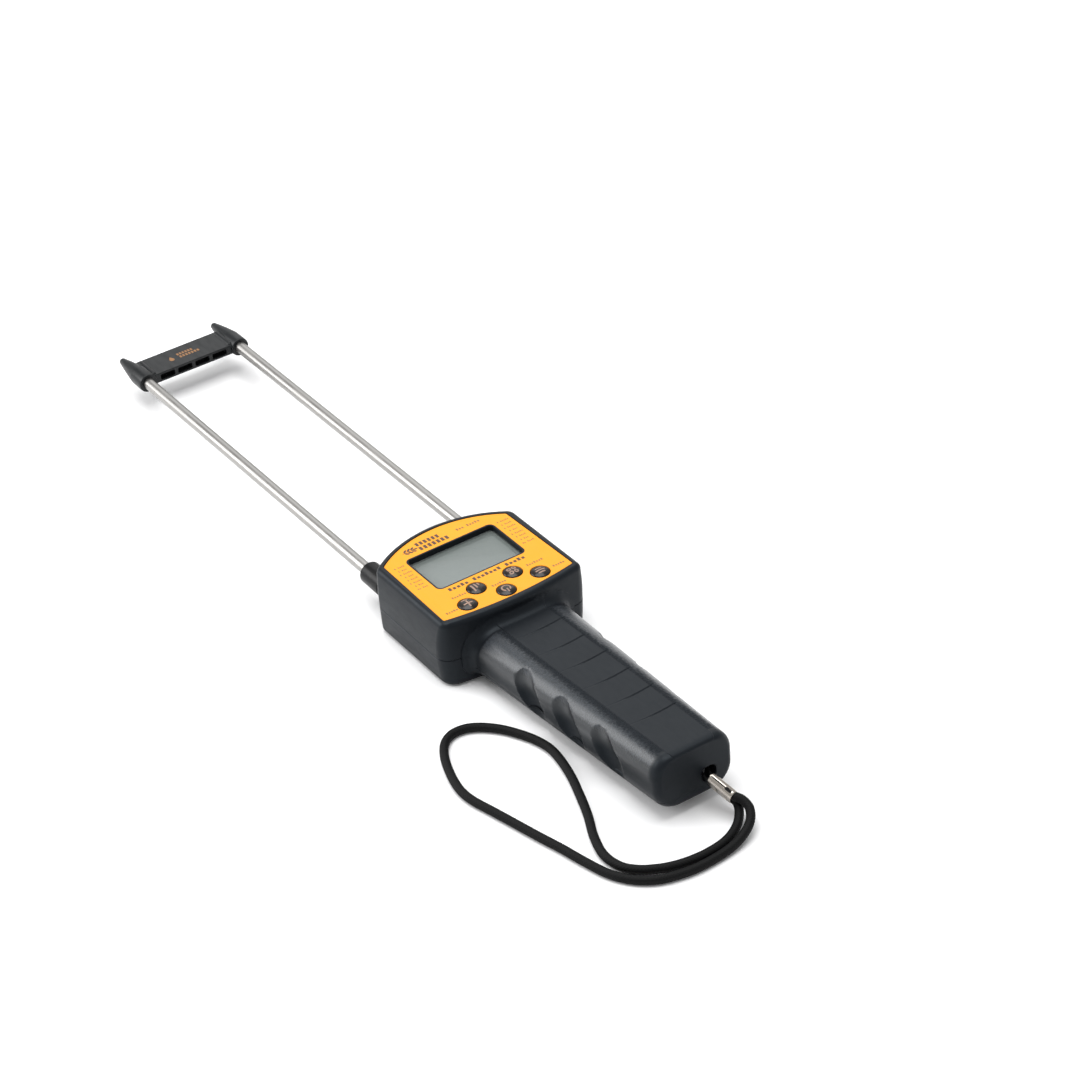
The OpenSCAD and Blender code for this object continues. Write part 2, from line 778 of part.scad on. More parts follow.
// The strap's route, from the crimp round the loop on the surface and back
strap_z = strap_d / 2;
strap_route = [
  [10.2, -244.2, 7.1], [10.2, -246.8, 6.2], [8.2, -250.4, 4.6], [4, -254.4, 3], [-2.5, -257.8, strap_z],
  [-10, -259.8, strap_z], [-20, -260.2, strap_z], [-30, -258.6, strap_z], [-38, -255.4, strap_z],
  [-45, -250.6, strap_z], [-49.5, -244, strap_z], [-50.5, -234, strap_z], [-47, -222, strap_z],
  [-41, -209, strap_z], [-36, -196, strap_z], [-31, -181, strap_z], [-28, -166, strap_z],
  [-28.5, -156, strap_z], [-32, -145.5, strap_z], [-38, -135, strap_z], [-46, -127.5, strap_z],
  [-54, -125.5, strap_z], [-61, -128.5, strap_z], [-66.5, -136, strap_z], [-71, -147, strap_z],
  [-74, -159, strap_z], [-74, -169, strap_z], [-71, -182, strap_z], [-68, -195, strap_z],
  [-65, -208, strap_z], [-62, -220, strap_z], [-59.5, -232, strap_z], [-56, -245, strap_z],
  [-50.5, -254.2, strap_z], [-43, -260.4, strap_z], [-34.5, -263.6, strap_z], [-25, -265.2, strap_z],
  [-14.5, -265, strap_z], [-5, -263.8, 2.6], [2.6, -261.5, 4], [8, -258.4, 6], [11, -254, 8.2],
  [10.8, -249.5, 9.8], [8.8, -246, 10.7]
];

module strap_cord() {
  color([0.09, 0.09, 0.1]) sweep(curve(strap_route, 2), strap_d / 2, 10);
}

// ---------- nodes ----------

front_shell();
rear_shell();
faceplate();
lcd_window();
lcd_glass();
lcd_holder();
lcd_connector_strips();
main_board();
board_components();
tact_switches();
buzzer();
push_button(0);  // button_limit
push_button(1);  // button_power
push_button(2);  // button_auto
push_button(3);  // button_adjust
push_button(4);  // button_species
probe_rod(-1);  // probe_rod_left
probe_rod(1);  // probe_rod_right
rod_collar(-1);  // rod_collar_left
rod_collar(1);  // rod_collar_right
rod_block();
rod_block_screws();
rod_lug(-1);  // rod_lug_left
rod_lug(1);  // rod_lug_right
probe_wire(-1);  // probe_wire_left
probe_wire(1);  // probe_wire_right
tip_bridge();
battery_holder();
battery_1();
battery_2();
battery_3();
battery_4();
battery_springs();
battery_contacts();
along() color("red") battery_wire(1);  // battery_wire_red
along() color([0.1, 0.1, 0.1]) battery_wire(-1);  // battery_wire_black
battery_door();
case_screws();
board_screws();
rear_label();
strap_pin();
strap_tether();
strap_crimp();
strap_cord();
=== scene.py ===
import math

import bmesh
import bpy
import numpy as np
from mathutils import Matrix, Vector


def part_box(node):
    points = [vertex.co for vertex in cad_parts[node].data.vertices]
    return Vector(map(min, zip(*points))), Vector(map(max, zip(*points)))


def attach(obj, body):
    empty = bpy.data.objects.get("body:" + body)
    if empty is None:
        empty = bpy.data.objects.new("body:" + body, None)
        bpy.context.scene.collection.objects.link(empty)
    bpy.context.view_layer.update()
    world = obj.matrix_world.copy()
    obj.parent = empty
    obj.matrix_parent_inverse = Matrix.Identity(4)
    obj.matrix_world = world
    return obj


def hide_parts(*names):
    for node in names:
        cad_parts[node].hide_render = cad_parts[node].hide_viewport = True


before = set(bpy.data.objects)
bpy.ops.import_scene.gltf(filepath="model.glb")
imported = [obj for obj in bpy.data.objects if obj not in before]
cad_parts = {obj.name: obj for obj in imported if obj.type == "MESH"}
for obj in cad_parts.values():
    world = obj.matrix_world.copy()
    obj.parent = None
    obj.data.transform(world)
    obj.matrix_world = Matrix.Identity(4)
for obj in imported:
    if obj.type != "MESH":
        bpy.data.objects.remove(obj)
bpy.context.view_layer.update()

# ---------- units and measures ----------
# Shapes are drawn in millimetres, with y = 0 at the lower edge of the display
# face and z = 0 on the meter's back. metres() takes them to the frame.

MM = 0.001
RODS_START = 42
FACE_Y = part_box("probe_rod_left")[0].y / MM - RODS_START


def metres(points):
    return (np.asarray(points, float) + (0, FACE_Y, 0)) * MM


def corners(node):
    """A CAD node's lowest and highest corner in the millimetres that shapes are drawn in."""
    return [np.array(corner) / MM - (0, FACE_Y, 0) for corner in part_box(node)]


casing_low, casing_high = corners("front_shell")
HALF_W = casing_high[0]
RIM_Z = casing_high[2]
FACE_Z = corners("faceplate")[1][2]
PLATE_Z = corners("faceplate")[0][2]
LENS_TOP = corners("lcd_window")[1][2]
GRIP_END = casing_low[1]
PARTING_Z = 15
GRIP_PARTING_Z = 9.5
WALL = 2.2

# The outlines of the display face and the head: sides as two points, and the bow and
# arch as a centre and a radius
FACE_NEAR, FACE_FAR, FACE_L = 35, 33.75, 52.5
FACE_SIDE = ((FACE_NEAR, 0), (FACE_FAR, FACE_L))
BOW_R, ARCH_R = 180, 55.5
BOW_RIM, ARCH_RIM = 4, 3.2
BOW_Y = math.sqrt(BOW_R**2 - FACE_NEAR**2)
ARCH_Y = FACE_L - math.sqrt(ARCH_R**2 - FACE_FAR**2)
FACE_BOW, HEAD_BOW = (BOW_Y, BOW_R), (BOW_Y, BOW_R + BOW_RIM)
FACE_ARCH, HEAD_ARCH = (ARCH_Y, ARCH_R), (ARCH_Y, ARCH_R + ARCH_RIM)
# Half the head's width without its bulge, which is less at the arch
INSIDE_HALF = HALF_W - 2
FAR_BULGE = 0.6
FAR_CORNER = 5

WINDOW = (23.3, 14.1)
WINDOW_Y = 35.7
BUTTONS = {
    "limit": (-19.7, 3.9),
    "power": (0, 2),
    "auto": (19.7, 3.9),
    "adjust": (-9.9, 11.7),
    "species": (9.9, 11.7),
}
BUTTON_R = 4.5
BUTTON_HOLE_R = BUTTON_R + 0.3
ROD_X = 27.2
ROD_R = 3
# Each case screw: x, y and the height of its seat
CASE_SCREWS = [
    (-30, 7, 3.8), (30, 7, 3.8), (-11, 57, 3.8), (11, 57, 3.8), (-11, -127, 7.6), (11, -127, 7.6)
]
BOARD_SCREWS = [(-30, 19), (30, 19), (-30, 39), (30, 39)]
BLOCK_SCREWS = [(-16, 50.5), (16, 50.5)]

# ---------- the strap's route, in millimetres of the frame, as in the CAD ----------

STRAP_D = 4.2
STRAP_Z = STRAP_D / 2
STRAP_ON_FLOOR = [
    (-2.5, -257.8), (-10, -259.8), (-20, -260.2), (-30, -258.6), (-38, -255.4), (-45, -250.6),
    (-49.5, -244), (-50.5, -234), (-47, -222), (-41, -209), (-36, -196), (-31, -181), (-28, -166),
    (-28.5, -156), (-32, -145.5), (-38, -135), (-46, -127.5), (-54, -125.5), (-61, -128.5),
    (-66.5, -136), (-71, -147), (-74, -159), (-74, -169), (-71, -182), (-68, -195), (-65, -208),
    (-62, -220), (-59.5, -232), (-56, -245), (-50.5, -254.2), (-43, -260.4), (-34.5, -263.6),
    (-25, -265.2), (-14.5, -265),
]
STRAP_ROUTE = [
    (10.2, -244.2, 7.1), (10.2, -246.8, 6.2), (8.2, -250.4, 4.6), (4, -254.4, 3),
    *[(x, y, STRAP_Z) for x, y in STRAP_ON_FLOOR],
    (-5, -263.8, 2.6), (2.6, -261.5, 4), (8, -258.4, 6), (11, -254, 8.2), (10.8, -249.5, 9.8),
    (8.8, -246, 10.7),
]

# ---------- camera ----------

CAMERA_AT = Vector((-0.60724, -1.10303, 0.88129))
CAMERA_RIGHT = Vector((0.82370, -0.56325, -0.06538))
CAMERA_UP = Vector((0.36707, 0.44178, 0.81859))
LENS = 107.65


def make_camera():
    """The photograph's view: a long lens from the grip end, to the left and above."""
    camera = bpy.data.objects.new("camera", bpy.data.cameras.new("camera"))
    bpy.context.scene.collection.objects.link(camera)
    axes = Matrix((CAMERA_RIGHT, CAMERA_UP, CAMERA_RIGHT.cross(CAMERA_UP)))
    camera.matrix_world = Matrix.Translation(CAMERA_AT) @ axes.transposed().to_4x4()
    camera.data.sensor_width = 36
    camera.data.lens = LENS
    bpy.context.scene.camera = camera


make_camera()

# ---------- material nodes ----------


class Nodes:
    """A material whose nodes are added with their inputs, values or sockets, by name."""

    def __init__(self, name):
        self.material = bpy.data.materials.new(name)
        self.material.use_nodes = True
        self.tree = self.material.node_tree
        self.tree.nodes.clear()
        self.coordinates = self.add("ShaderNodeTexCoord").outputs["Object"]

    def add(self, kind, inputs=None, **settings):
        node = self.tree.nodes.new(kind)
        for name, value in settings.items():
            setattr(node, name, value)
        for name, value in (inputs or {}).items():
            if isinstance(value, bpy.types.NodeSocket):
                self.tree.links.new(value, node.inputs[name])
            else:
                node.inputs[name].default_value = value
        return node

    def math(self, operation, a, b):
        return self.add("ShaderNodeMath", {0: a, 1: b}, operation=operation).outputs[0]

    def plus(self, a, b):
        return self.math("ADD", a, b)

    def minus(self, a, b):
        return self.math("SUBTRACT", a, b)

    def times(self, product, *factors):
        for factor in factors:
            product = self.math("MULTIPLY", product, factor)
        return product

    def drawn(self):
        """x, y and z in the millimetres that shapes are drawn in."""
        inputs = {0: self.coordinates, "Scale": 1 / MM}
        scaled = self.add("ShaderNodeVectorMath", inputs, operation="SCALE").outputs[0]
        parts = self.add("ShaderNodeSeparateXYZ", {0: scaled}).outputs
        return parts[0], self.minus(parts[1], FACE_Y), parts[2]

    def noise(self, size, detail=3, stretch=(1, 1, 1)):
        """Noise whose features are about size millimetres across."""
        inputs = {"Vector": self.coordinates, "Scale": stretch}
        place = self.add("ShaderNodeMapping", inputs).outputs[0]
        inputs = {"Vector": place, "Scale": 1 / (size * MM), "Detail": detail}
        return self.add("ShaderNodeTexNoise", inputs).outputs[0]

    def cells(self, size):
        inputs = {"Vector": self.coordinates, "Scale": 1 / (size * MM)}
        return self.add("ShaderNodeTexVoronoi", inputs).outputs["Distance"]

    def between(self, value, low, high, start=0.0, end=1.0):
        """start below low, end above high, and a smooth step between them."""
        inputs = {"Value": value, "From Min": low, "From Max": high, "To Min": start, "To Max": end}
        return self.add("ShaderNodeMapRange", inputs, interpolation_type="SMOOTHSTEP").outputs[0]

    def mix(self, share, a, b):
        """A mix of two colours."""
        mixed = self.add("ShaderNodeMix", data_type="RGBA")
        self.tree.links.new(share, mixed.inputs[0])
        for socket, value in ((mixed.inputs[6], a), (mixed.inputs[7], b)):
            if isinstance(value, bpy.types.NodeSocket):
                self.tree.links.new(value, socket)
            else:
                socket.default_value = (*value, 1)
        return mixed.outputs[2]

    def bump(self, height, depth, under=None):
        """A bump of depth millimetres, on top of the bump under it."""
        inputs = {"Height": height, "Distance": depth * MM, "Strength": 1.0}
        if under is not None:
            inputs["Normal"] = under
        return self.add("ShaderNodeBump", inputs).outputs[0]

    def surface(self, **inputs):
        named = {name.replace("_", " "): value for name, value in inputs.items()}
        shader = self.add("ShaderNodeBsdfPrincipled", named)
        self.add("ShaderNodeOutputMaterial", {"Surface": shader.outputs[0]})
        return self.material


def rgb(colour, factor=1.0):
    return tuple(channel * factor for channel in colour)


def moulded(name, colour, roughness=0.4, grain=0.35, depth=0.02, **more):
    """Moulded plastic: a fine sparked grain, faint cloudiness and light handling marks."""
    nodes = Nodes(name)
    cloud = nodes.noise(9)
    marks = nodes.noise(2.5, 6, (1, 0.25, 1))
    colours = nodes.mix(cloud, rgb(colour, 0.86), rgb(colour, 1.16))
    shine = nodes.between(marks, 0.35, 0.75, roughness - 0.06, roughness + 0.08)
    skin = nodes.bump(nodes.noise(grain, 2), depth)
    return nodes.surface(Base_Color=colours, Roughness=shine, Normal=skin, **more)


def metal(name, colour, roughness=0.28, lines=(1, 1, 1), size=0.25, depth=0.01):
    """Bare metal with fine lines along one axis and cloudy handling marks."""
    nodes = Nodes(name)
    streaks = nodes.noise(size, 4, lines)
    cloud = nodes.noise(11, 2)
    colours = nodes.mix(streaks, rgb(colour, 0.88), rgb(colour, 1.08))
    shine = nodes.between(cloud, 0.3, 0.7, roughness - 0.05, roughness + 0.07)
    return nodes.surface(
        Base_Color=colours, Roughness=shine, Metallic=1.0, Normal=nodes.bump(streaks, depth)
    )


# ---------- shapes: points and faces ----------

# The angles of the points on a softened edge
EDGE_ANGLES = np.radians([0, 22, 45, 68, 90])


def turned(to):
    """The matrix that turns +Z to the direction to."""
    return Vector(to).to_track_quat("Z", "Y").to_matrix().to_4x4()


def at(x, y, z, to=(0, 0, 1)):
    return Matrix.Translation((x, y, z)) @ turned(to)


def placed(shape, matrix):
    points, faces = shape
    square = np.array(matrix)
    return points @ square[:3, :3].T + square[:3, 3], faces


def joined(*shapes):
    """Several shapes as one."""
    points, faces, count = [], [], 0
    for part_points, part_faces in shapes:
        points.append(part_points)
        faces += [tuple(count + i for i in face) for face in part_faces]
        count += len(part_points)
    return np.concatenate(points), faces


def skin(rings, looped=False):
    """The skin over rings of equal length, closed by its two ends or joined end to end."""
    count = len(rings[0])
    pairs = [(i, i + 1) for i in range(len(rings) - 1)]
    if looped:
        pairs.append((len(rings) - 1, 0))
    faces = [
        (a * count + k, a * count + (k + 1) % count, b * count + (k + 1) % count, b * count + k)
        for a, b in pairs
        for k in range(count)
    ]
    if not looped:
        last = (len(rings) - 1) * count
        faces += [tuple(range(count - 1, -1, -1)), tuple(range(last, last + count))]
    points = np.concatenate(rings)
    middle = points.mean(axis=0)
    a, b, c, d = (points[[face[i] for face in faces if len(face) == 4]] - middle for i in range(4))
    volume = np.sum(np.cross(a, b) * c + np.cross(c, d) * a)
    if volume < 0:
        faces = [face[::-1] for face in faces]
    return points, faces


def arc(centre, radius, start, end, steps):
    """Points on an arc between two angles in degrees. radius is a number or a pair."""
    angles = np.radians(np.linspace(start, end, steps + 1))
    wide, high = radius if isinstance(radius, tuple) else (radius, radius)
    return np.column_stack([centre[0] + wide * np.cos(angles), centre[1] + high * np.sin(angles)])


def level(outline, z):
    return np.column_stack([outline, np.full(len(outline), float(z))])


def mirrored(right):
    """A closed outline from its right half, which starts and ends on the middle line."""
    return np.concatenate([right, right[-2:0:-1] * (-1, 1)])


def lathe(profile, steps=64, looped=False):
    """A solid of revolution about z, from (radius, height) points. looped joins the
    profile's end to its start, as for a tube."""
    turn = np.radians(np.arange(steps) * 360 / steps)
    circle = np.column_stack([np.cos(turn), np.sin(turn)])
    return skin([level(circle * radius, z) for radius, z in profile], looped)


def tube(outer, inner, length, chamfer):
    """A tube along z whose ends are chamfered outside."""
    narrow = outer - chamfer
    outside = [(narrow, 0), (outer, chamfer), (outer, length - chamfer), (narrow, length)]
    return lathe([*outside, (inner, length), (inner, 0)], looped=True)


def rounded_box(size, radius, steps=5, ends=0.0):
    """A box centred on x and y from z = 0 up, with round upright edges. ends rounds off
    its upper and lower edges as well."""
    half_x, half_y = size[0] / 2, size[1] / 2

    def ring(z, inset):
        r = max(radius - inset, 0.02)
        x, y = half_x - inset - r, half_y - inset - r
        quarters = [((x, y), 0), ((-x, y), 90), ((-x, -y), 180), ((x, -y), 270)]
        return level(np.concatenate([arc(c, r, a, a + 90, steps) for c, a in quarters]), z)

    if not ends:
        return skin([ring(0, 0), ring(size[2], 0)])
    bends = [(ends * (1 - math.sin(a)), ends * (1 - math.cos(a))) for a in EDGE_ANGLES]
    lower = [ring(rise, inset) for inset, rise in bends]
    upper = [ring(size[2] - rise, inset) for inset, rise in reversed(bends)]
    return skin(lower + upper)


def smoothed(points, steps):
    """A smooth curve through the points, with steps points to each stretch."""
    p = np.asarray(points, float)
    p = np.concatenate([[2 * p[0] - p[1]], p, [2 * p[-1] - p[-2]]])
    t = (np.arange(steps) / steps)[:, None]
    stretches = [
        0.5 * (2 * b + (c - a) * t + (2 * a - 5 * b + 4 * c - d) * t**2 + (3 * b - a - 3 * c + d) * t**3)
        for a, b, c, d in zip(p[:-3], p[1:-2], p[2:-1], p[3:])
    ]
    return np.concatenate([*stretches, p[-2:-1]])


def distances(path):
    """How far along the path each of its points is."""
    return np.concatenate([[0], np.cumsum(np.linalg.norm(np.diff(path, axis=0), axis=1))])


def evenly(path, gap):
    """The path's points again, spaced evenly about gap apart."""
    along = distances(path)
    wanted = np.linspace(0, along[-1], round(along[-1] / gap) + 1)
    return np.column_stack([np.interp(wanted, along, path[:, i]) for i in range(3)])


def swept(path, radius, sides):
    """A tube along a path. radius is a function of the distance along the path and the
    angles round it."""
    steps = np.gradient(path, axis=0)
    forward = steps / np.linalg.norm(steps, axis=1)[:, None]
    u = np.cross(forward, (0, 0, 1))
    u /= np.linalg.norm(u, axis=1)[:, None]
    v = np.cross(u, forward)
    along = distances(path)
    turn = np.arange(sides) * 2 * math.pi / sides
    rings = []
    for i, point in enumerate(path):
        spokes = np.cos(turn)[:, None] * u[i] + np.sin(turn)[:, None] * v[i]
        rings.append(point + radius(along[i], turn)[:, None] * spokes)
    return skin(rings)


# ---------- pieces ----------


def mesh_object(name, points, faces):
    mesh = bpy.data.meshes.new(name)
    mesh.from_pydata(points.tolist(), [], faces)
    made = bpy.data.objects.new(name, mesh)
    bpy.context.scene.collection.objects.link(made)
    return made


def piece(name, shape, material, body="casing", stands_for=(), sharp=32, drawn=True):
    """A smooth-shaded piece with its finish, body and the CAD nodes it stands for.
    drawn is False for a shape in the frame's millimetres."""
    points, faces = shape
    made = mesh_object(name, metres(points) if drawn else np.asarray(points) * MM, faces)
    made.data.materials.append(material)
    made.data.shade_smooth()
    made.data.set_sharp_from_angle(angle=math.radians(sharp))
    weighted = made.modifiers.new("weighted normals", "WEIGHTED_NORMAL")
    weighted.keep_sharp = True
    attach(made, body)
    if stands_for:
        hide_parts(*stands_for)
    return made


def solid(shape):
    """A closed mesh object that only serves to make others."""
    made = mesh_object("tool", np.asarray(shape[0]), shape[1])
    sheet = bmesh.new()
    sheet.from_mesh(made.data)
    bmesh.ops.triangulate(sheet, faces=[face for face in sheet.faces if len(face.verts) > 4])
    sheet.to_mesh(made.data)
    sheet.free()
    return made


def combined(first, operation, *shapes):
    """The shape that is left of first after a boolean with the other shapes, which don't
    touch each other."""
    base, tool = solid(first), solid(joined(*shapes))
    change = base.modifiers.new("boolean", "BOOLEAN")
    change.operation = operation
    change.object = tool
    change.solver = "MANIFOLD"
    bpy.context.view_layer.update()
    graph = bpy.context.evaluated_depsgraph_get()
    result = base.evaluated_get(graph).to_mesh()
    points = np.zeros(len(result.vertices) * 3)
    result.vertices.foreach_get("co", points)
    faces = [tuple(face.vertices) for face in result.polygons]
    if not faces:
        raise ValueError("a boolean left nothing")
    base.evaluated_get(graph).to_mesh_clear()
    for made in (base, tool):
        bpy.data.objects.remove(made)
    return points.reshape(-1, 3), faces


def less(first, *shapes):
    return combined(first, "DIFFERENCE", *shapes)


def plus(first, *shapes):
    return combined(first, "UNION", *shapes)


def common(first, *shapes):
    return combined(first, "INTERSECT", *shapes)


# ---------- the casing ----------


def head_outline(side, bow, arch, inset, radii):
    """The outline of the head or of its face, pulled in by inset: a bowed lower edge,
    straight sides, an arched far end and round corners of two radii, near and far."""
    low, high = (np.array(point, float) for point in side)
    along = (high - low) / np.linalg.norm(high - low)
    outward = np.array([along[1], -along[0]])

    def corner_centre(circle, corner, sign):
        """Where the corner's centre lies, and the angle to it from the circle's centre."""
        base = low - (inset + corner) * outward
        back = base - (0, circle[0])
        reach = circle[1] - inset - corner
        b = back @ along
        centre = base + (-b + sign * math.sqrt(b * b - back @ back + reach * reach)) * along
        return centre, math.degrees(math.atan2(centre[1] - circle[0], centre[0]))

    near, near_angle = corner_centre(bow, radii[0], -1)
    far, far_angle = corner_centre(arch, radii[1], 1)
    side_angle = math.degrees(math.atan2(outward[1], outward[0]))
    return mirrored(
        np.concatenate([
            arc((0, bow[0]), bow[1] - inset, -90, near_angle, 16)[:-1],
            arc(near, radii[0], near_angle, side_angle, 10),
            arc(far, radii[1], side_angle, far_angle, 8)[:-1],
            arc((0, arch[0]), arch[1] - inset, far_angle, 90, 20),
        ])
    )


def head_ring(z, inset, bulge=0.0, near=2.8):
    side = ((INSIDE_HALF + bulge, 0), (INSIDE_HALF + FAR_BULGE * bulge, FACE_L))
    radii = (near, FAR_CORNER - min(inset, 3))
    return level(head_outline(side, HEAD_BOW, HEAD_ARCH, inset, radii), z)


def face_ring(z, inset, corner=0.9):
    return level(head_outline(FACE_SIDE, FACE_BOW, FACE_ARCH, inset, (corner, corner)), z)


BACK_EDGE = 3.0
TOP_EDGE = (2.2, 2.8)
SEAM = 0.28
FACE_GAP = 0.12
# The bulge of the head's sides and the radius of its corners next to the grip, by height
HEAD_WALL = [
    (0, 0.6, 6.2), (3, 0.8, 7), (9, 1.5, 7), (15, 1.9, 7), (20, 2, 6.6), (24, 1.85, 6.1),
    (28, 1.5, 5.5), (32.5, 0.8, 4.4), (RIM_Z, 0.2, 2.7),
]


def head_solid():
    """The head's outside, with the recess for the display face in its top."""
    wall = smoothed(HEAD_WALL, 8)

    def ring(z, inset):
        bulge, near = (np.interp(z, wall[:, 0], wall[:, i]) for i in (1, 2))
        return head_ring(z, inset, min(bulge, 2), near)

    bend = np.radians(np.linspace(0, 90, 9))
    back = [(BACK_EDGE * (1 - math.cos(a)), BACK_EDGE * (1 - math.sin(a))) for a in bend]
    top = [(RIM_Z - TOP_EDGE[1] * (1 - math.sin(a)), TOP_EDGE[0] * (1 - math.cos(a))) for a in bend]
    seam = [(PARTING_Z - SEAM, 0), (PARTING_Z, SEAM), (PARTING_Z + SEAM, 0)]
    walls = [(z, 0) for z in (4.5, 6.5, 8.5, 10.5, 12.5)] + seam + [(z, 0) for z in np.arange(17, 32, 2)]
    rings = [ring(z, inset) for z, inset in [*back, *walls, *top]]
    gap, bevel = -FACE_GAP, -FACE_GAP - 0.2
    rings += [face_ring(RIM_Z, bevel), face_ring(RIM_Z - 0.14, gap), face_ring(PLATE_Z, gap)]
    return skin(rings)


def head_cavity():
    return skin([head_ring(z, WALL) for z in (WALL, PARTING_Z, PLATE_Z - 2)])


GRIP_FROM = -3
NECK_Y = -12
TOP_CLIMB = 6.5


def share(y):
    """0 where the grip meets the head and 1 at its end."""
    return (GRIP_FROM - y) / (GRIP_FROM - GRIP_END)


def step(value, low, high):
    """0 below low, 1 above high and smooth between."""
    t = np.clip((np.asarray(value, float) - low) / (high - low), 0, 1)
    return t * t * (3 - 2 * t)


def grip_back(y):
    return 0.5 + 4.2 * share(y)


def grip_top(y):
    return 26.5 + TOP_CLIMB * share(y)


def grip_half(y):
    return 26 - 6 * share(y)


def panel_half(y):
    """Half the width of the smooth panel on the grip's top."""
    return 12.4 - 1.2 * share(y)


LOW_R = 11
SHOULDER_H = 10
LIP = 0.4
FLARE_R = 4.8
GROOVES = (-22, -39.6, -56.3, -73.8, -90.8, -108.3)
# Where the finger scallops are at their top, their half length, how far they slant for
# each millimetre of height, their middle's height and half height, and their depth
SCALLOPS = (-43, -71, -99)
SCALLOP_HALF = 8.8
SCALLOP_SLANT = 0.62
SCALLOP_RISE = (14.6, 9.6)
SCALLOP_DEPTH = 3.3
GROOVE_HALF = 0.45
GROOVE_SHALLOW, GROOVE_DEEP = 0.06, 0.5
PANEL_BOW = 1.5
END_R = 3.8
END_PULL = 2.8


def grip_outline(y, inset=0.0):
    """A closed outline of the grip across y, as x and z: round lower edges with the seam's
    groove, upright sides, shoulders, and a flat panel with a small lip."""
    back, top, half = grip_back(y) + inset, grip_top(y) - inset, grip_half(y) - inset
    low_r, panel = LOW_R - inset, panel_half(y)
    low = (half - low_r, back + low_r)
    seam = -math.degrees(math.asin((low[1] - GRIP_PARTING_Z) / low_r))
    spread = math.degrees(SEAM / low_r)
    shoulder = arc((panel + LIP, top - LIP - SHOULDER_H), (half - panel - LIP, SHOULDER_H), 0, 90, 18)
    right = np.concatenate([
        np.column_stack([np.linspace(0, low[0], 9), np.full(9, back)])[:-1],
        arc(low, low_r, -90, seam - spread, 14),
        arc(low, low_r - SEAM, seam, seam, 0),
        arc(low, low_r, seam + spread, 0, 10),
        np.column_stack([np.full(4, half), np.linspace(low[1], shoulder[0][1], 6)[1:-1]]),
        shoulder,
        [(panel + LIP * 0.45, top - LIP * 0.75)],
        np.column_stack([np.linspace(panel, 0, 16), np.full(16, top)]),
    ])
    return mirrored(right)


def outward(outline):
    ahead = np.roll(outline, -1, axis=0) - np.roll(outline, 1, axis=0)
    normal = np.column_stack([ahead[:, 1], -ahead[:, 0]])
    return normal / np.linalg.norm(normal, axis=1)[:, None]


def scalloped(outline, y):
    """The outline with the finger scallops pressed into its sides."""
    x, rise = np.abs(outline[:, 0]), outline[:, 1] - grip_back(y)
    middle, half = SCALLOP_RISE
    above = (rise - middle) / half
    depth = np.zeros(len(x))
    for scallop in SCALLOPS:
        across = (y - scallop + SCALLOP_SLANT * (middle + half - rise)) / SCALLOP_HALF
        depth += SCALLOP_DEPTH * np.maximum(1 - across**2 - above**2, 0) ** 0.6
    return outline - outward(outline) * (depth * step(x, 12, 17))[:, None]


def grip_ring(y, pull=0.0):
    """One ring of the grip's outside, with the flare at the head, the bowed grooves across
    the panel and the scallops. pull shrinks it, as at the rounded end."""
    outline = grip_outline(y)
    x, z = outline[:, 0], outline[:, 1]
    on_panel = step(z, grip_top(y) - 0.6, grip_top(y) - 0.3)
    bow = PANEL_BOW * on_panel * (1 - (x / 16) ** 2) * step(y, GRIP_END + 3, GRIP_END + 14)
    wall = HEAD_BOW[0] - np.sqrt(HEAD_BOW[1] ** 2 - x**2)
    reach = np.clip((y - bow - wall + FLARE_R) / FLARE_R, 0, 1)
    flare = FLARE_R * (1 - np.sqrt(1 - reach**2)) * step(z - grip_back(y), 1.5, 9)
    groove = max(0, *(1 - abs(y - line) / GROOVE_HALF for line in GROOVES))
    moved = scalloped(outline, y) + outward(outline) * flare[:, None]
    depth = GROOVE_SHALLOW + (GROOVE_DEEP - GROOVE_SHALLOW) * step(x, -9, 6)
    moved[:, 1] -= groove * depth * on_panel
    middle = np.array([0, (grip_back(y) + grip_top(y)) / 2])
    moved = middle + (moved - middle) * (1 - pull / grip_half(y))
    return np.column_stack([moved[:, 0], y - bow, moved[:, 1]])


def grip_solid():
    """The grip's outside: rings close together at the flare and the grooves."""
    end = [
        grip_ring(GRIP_END + END_R * (1 - math.cos(a)), END_PULL * (1 - math.sin(a)))
        for a in np.radians(np.linspace(0, 90, 8))
    ]
    rows = [*np.arange(4, -13, -0.6), *np.arange(-13, GRIP_END + END_R + 0.5, -0.85)]
    for groove in GROOVES:
        rows = [y for y in rows if abs(y - groove) > 1.05]
        rows += [groove + GROOVE_HALF * offset for offset in (-2, -1, -0.45, 0, 0.45, 1, 2)]
    return skin(end + [grip_ring(y) for y in sorted(rows)])


def grip_cavity():
    rings = []
    for y in np.linspace(GRIP_END + WALL + 4, 4, 60):
        outline = scalloped(grip_outline(y, WALL), y)
        rings.append(np.column_stack([outline[:, 0], np.full(len(outline), y), outline[:, 1]]))
    return skin(rings)


# The strap's pin, and its recess: width, depth and height
PIN = (7, 4.6 + GRIP_END, 15)
PIN_HALF, PIN_HOLE_R = 5, 1
RECESS = (8, 7.6, 7.6)


def strap_recess(grow=0.0):
    """The pocket for the strap's pin in the grip's end, or its walls when grown."""
    size = (RECESS[0] + 2 * grow, RECESS[2] + 2 * grow, RECESS[1] + grow + 3)
    return placed(rounded_box(size, 3), at(PIN[0], GRIP_END - 3, PIN[2], (0, 1, 0)))


def upright(x, y, low, high, radius, steps=32):
    return placed(lathe([(radius, 0), (radius, high - low)], steps), at(x, y, low))


def block(low, high):
    low, high = np.array(low, float), np.array(high, float)
    middle = (low + high) / 2
    return placed(rounded_box(high - low, 0.05, 1), at(middle[0], middle[1], low[2]))


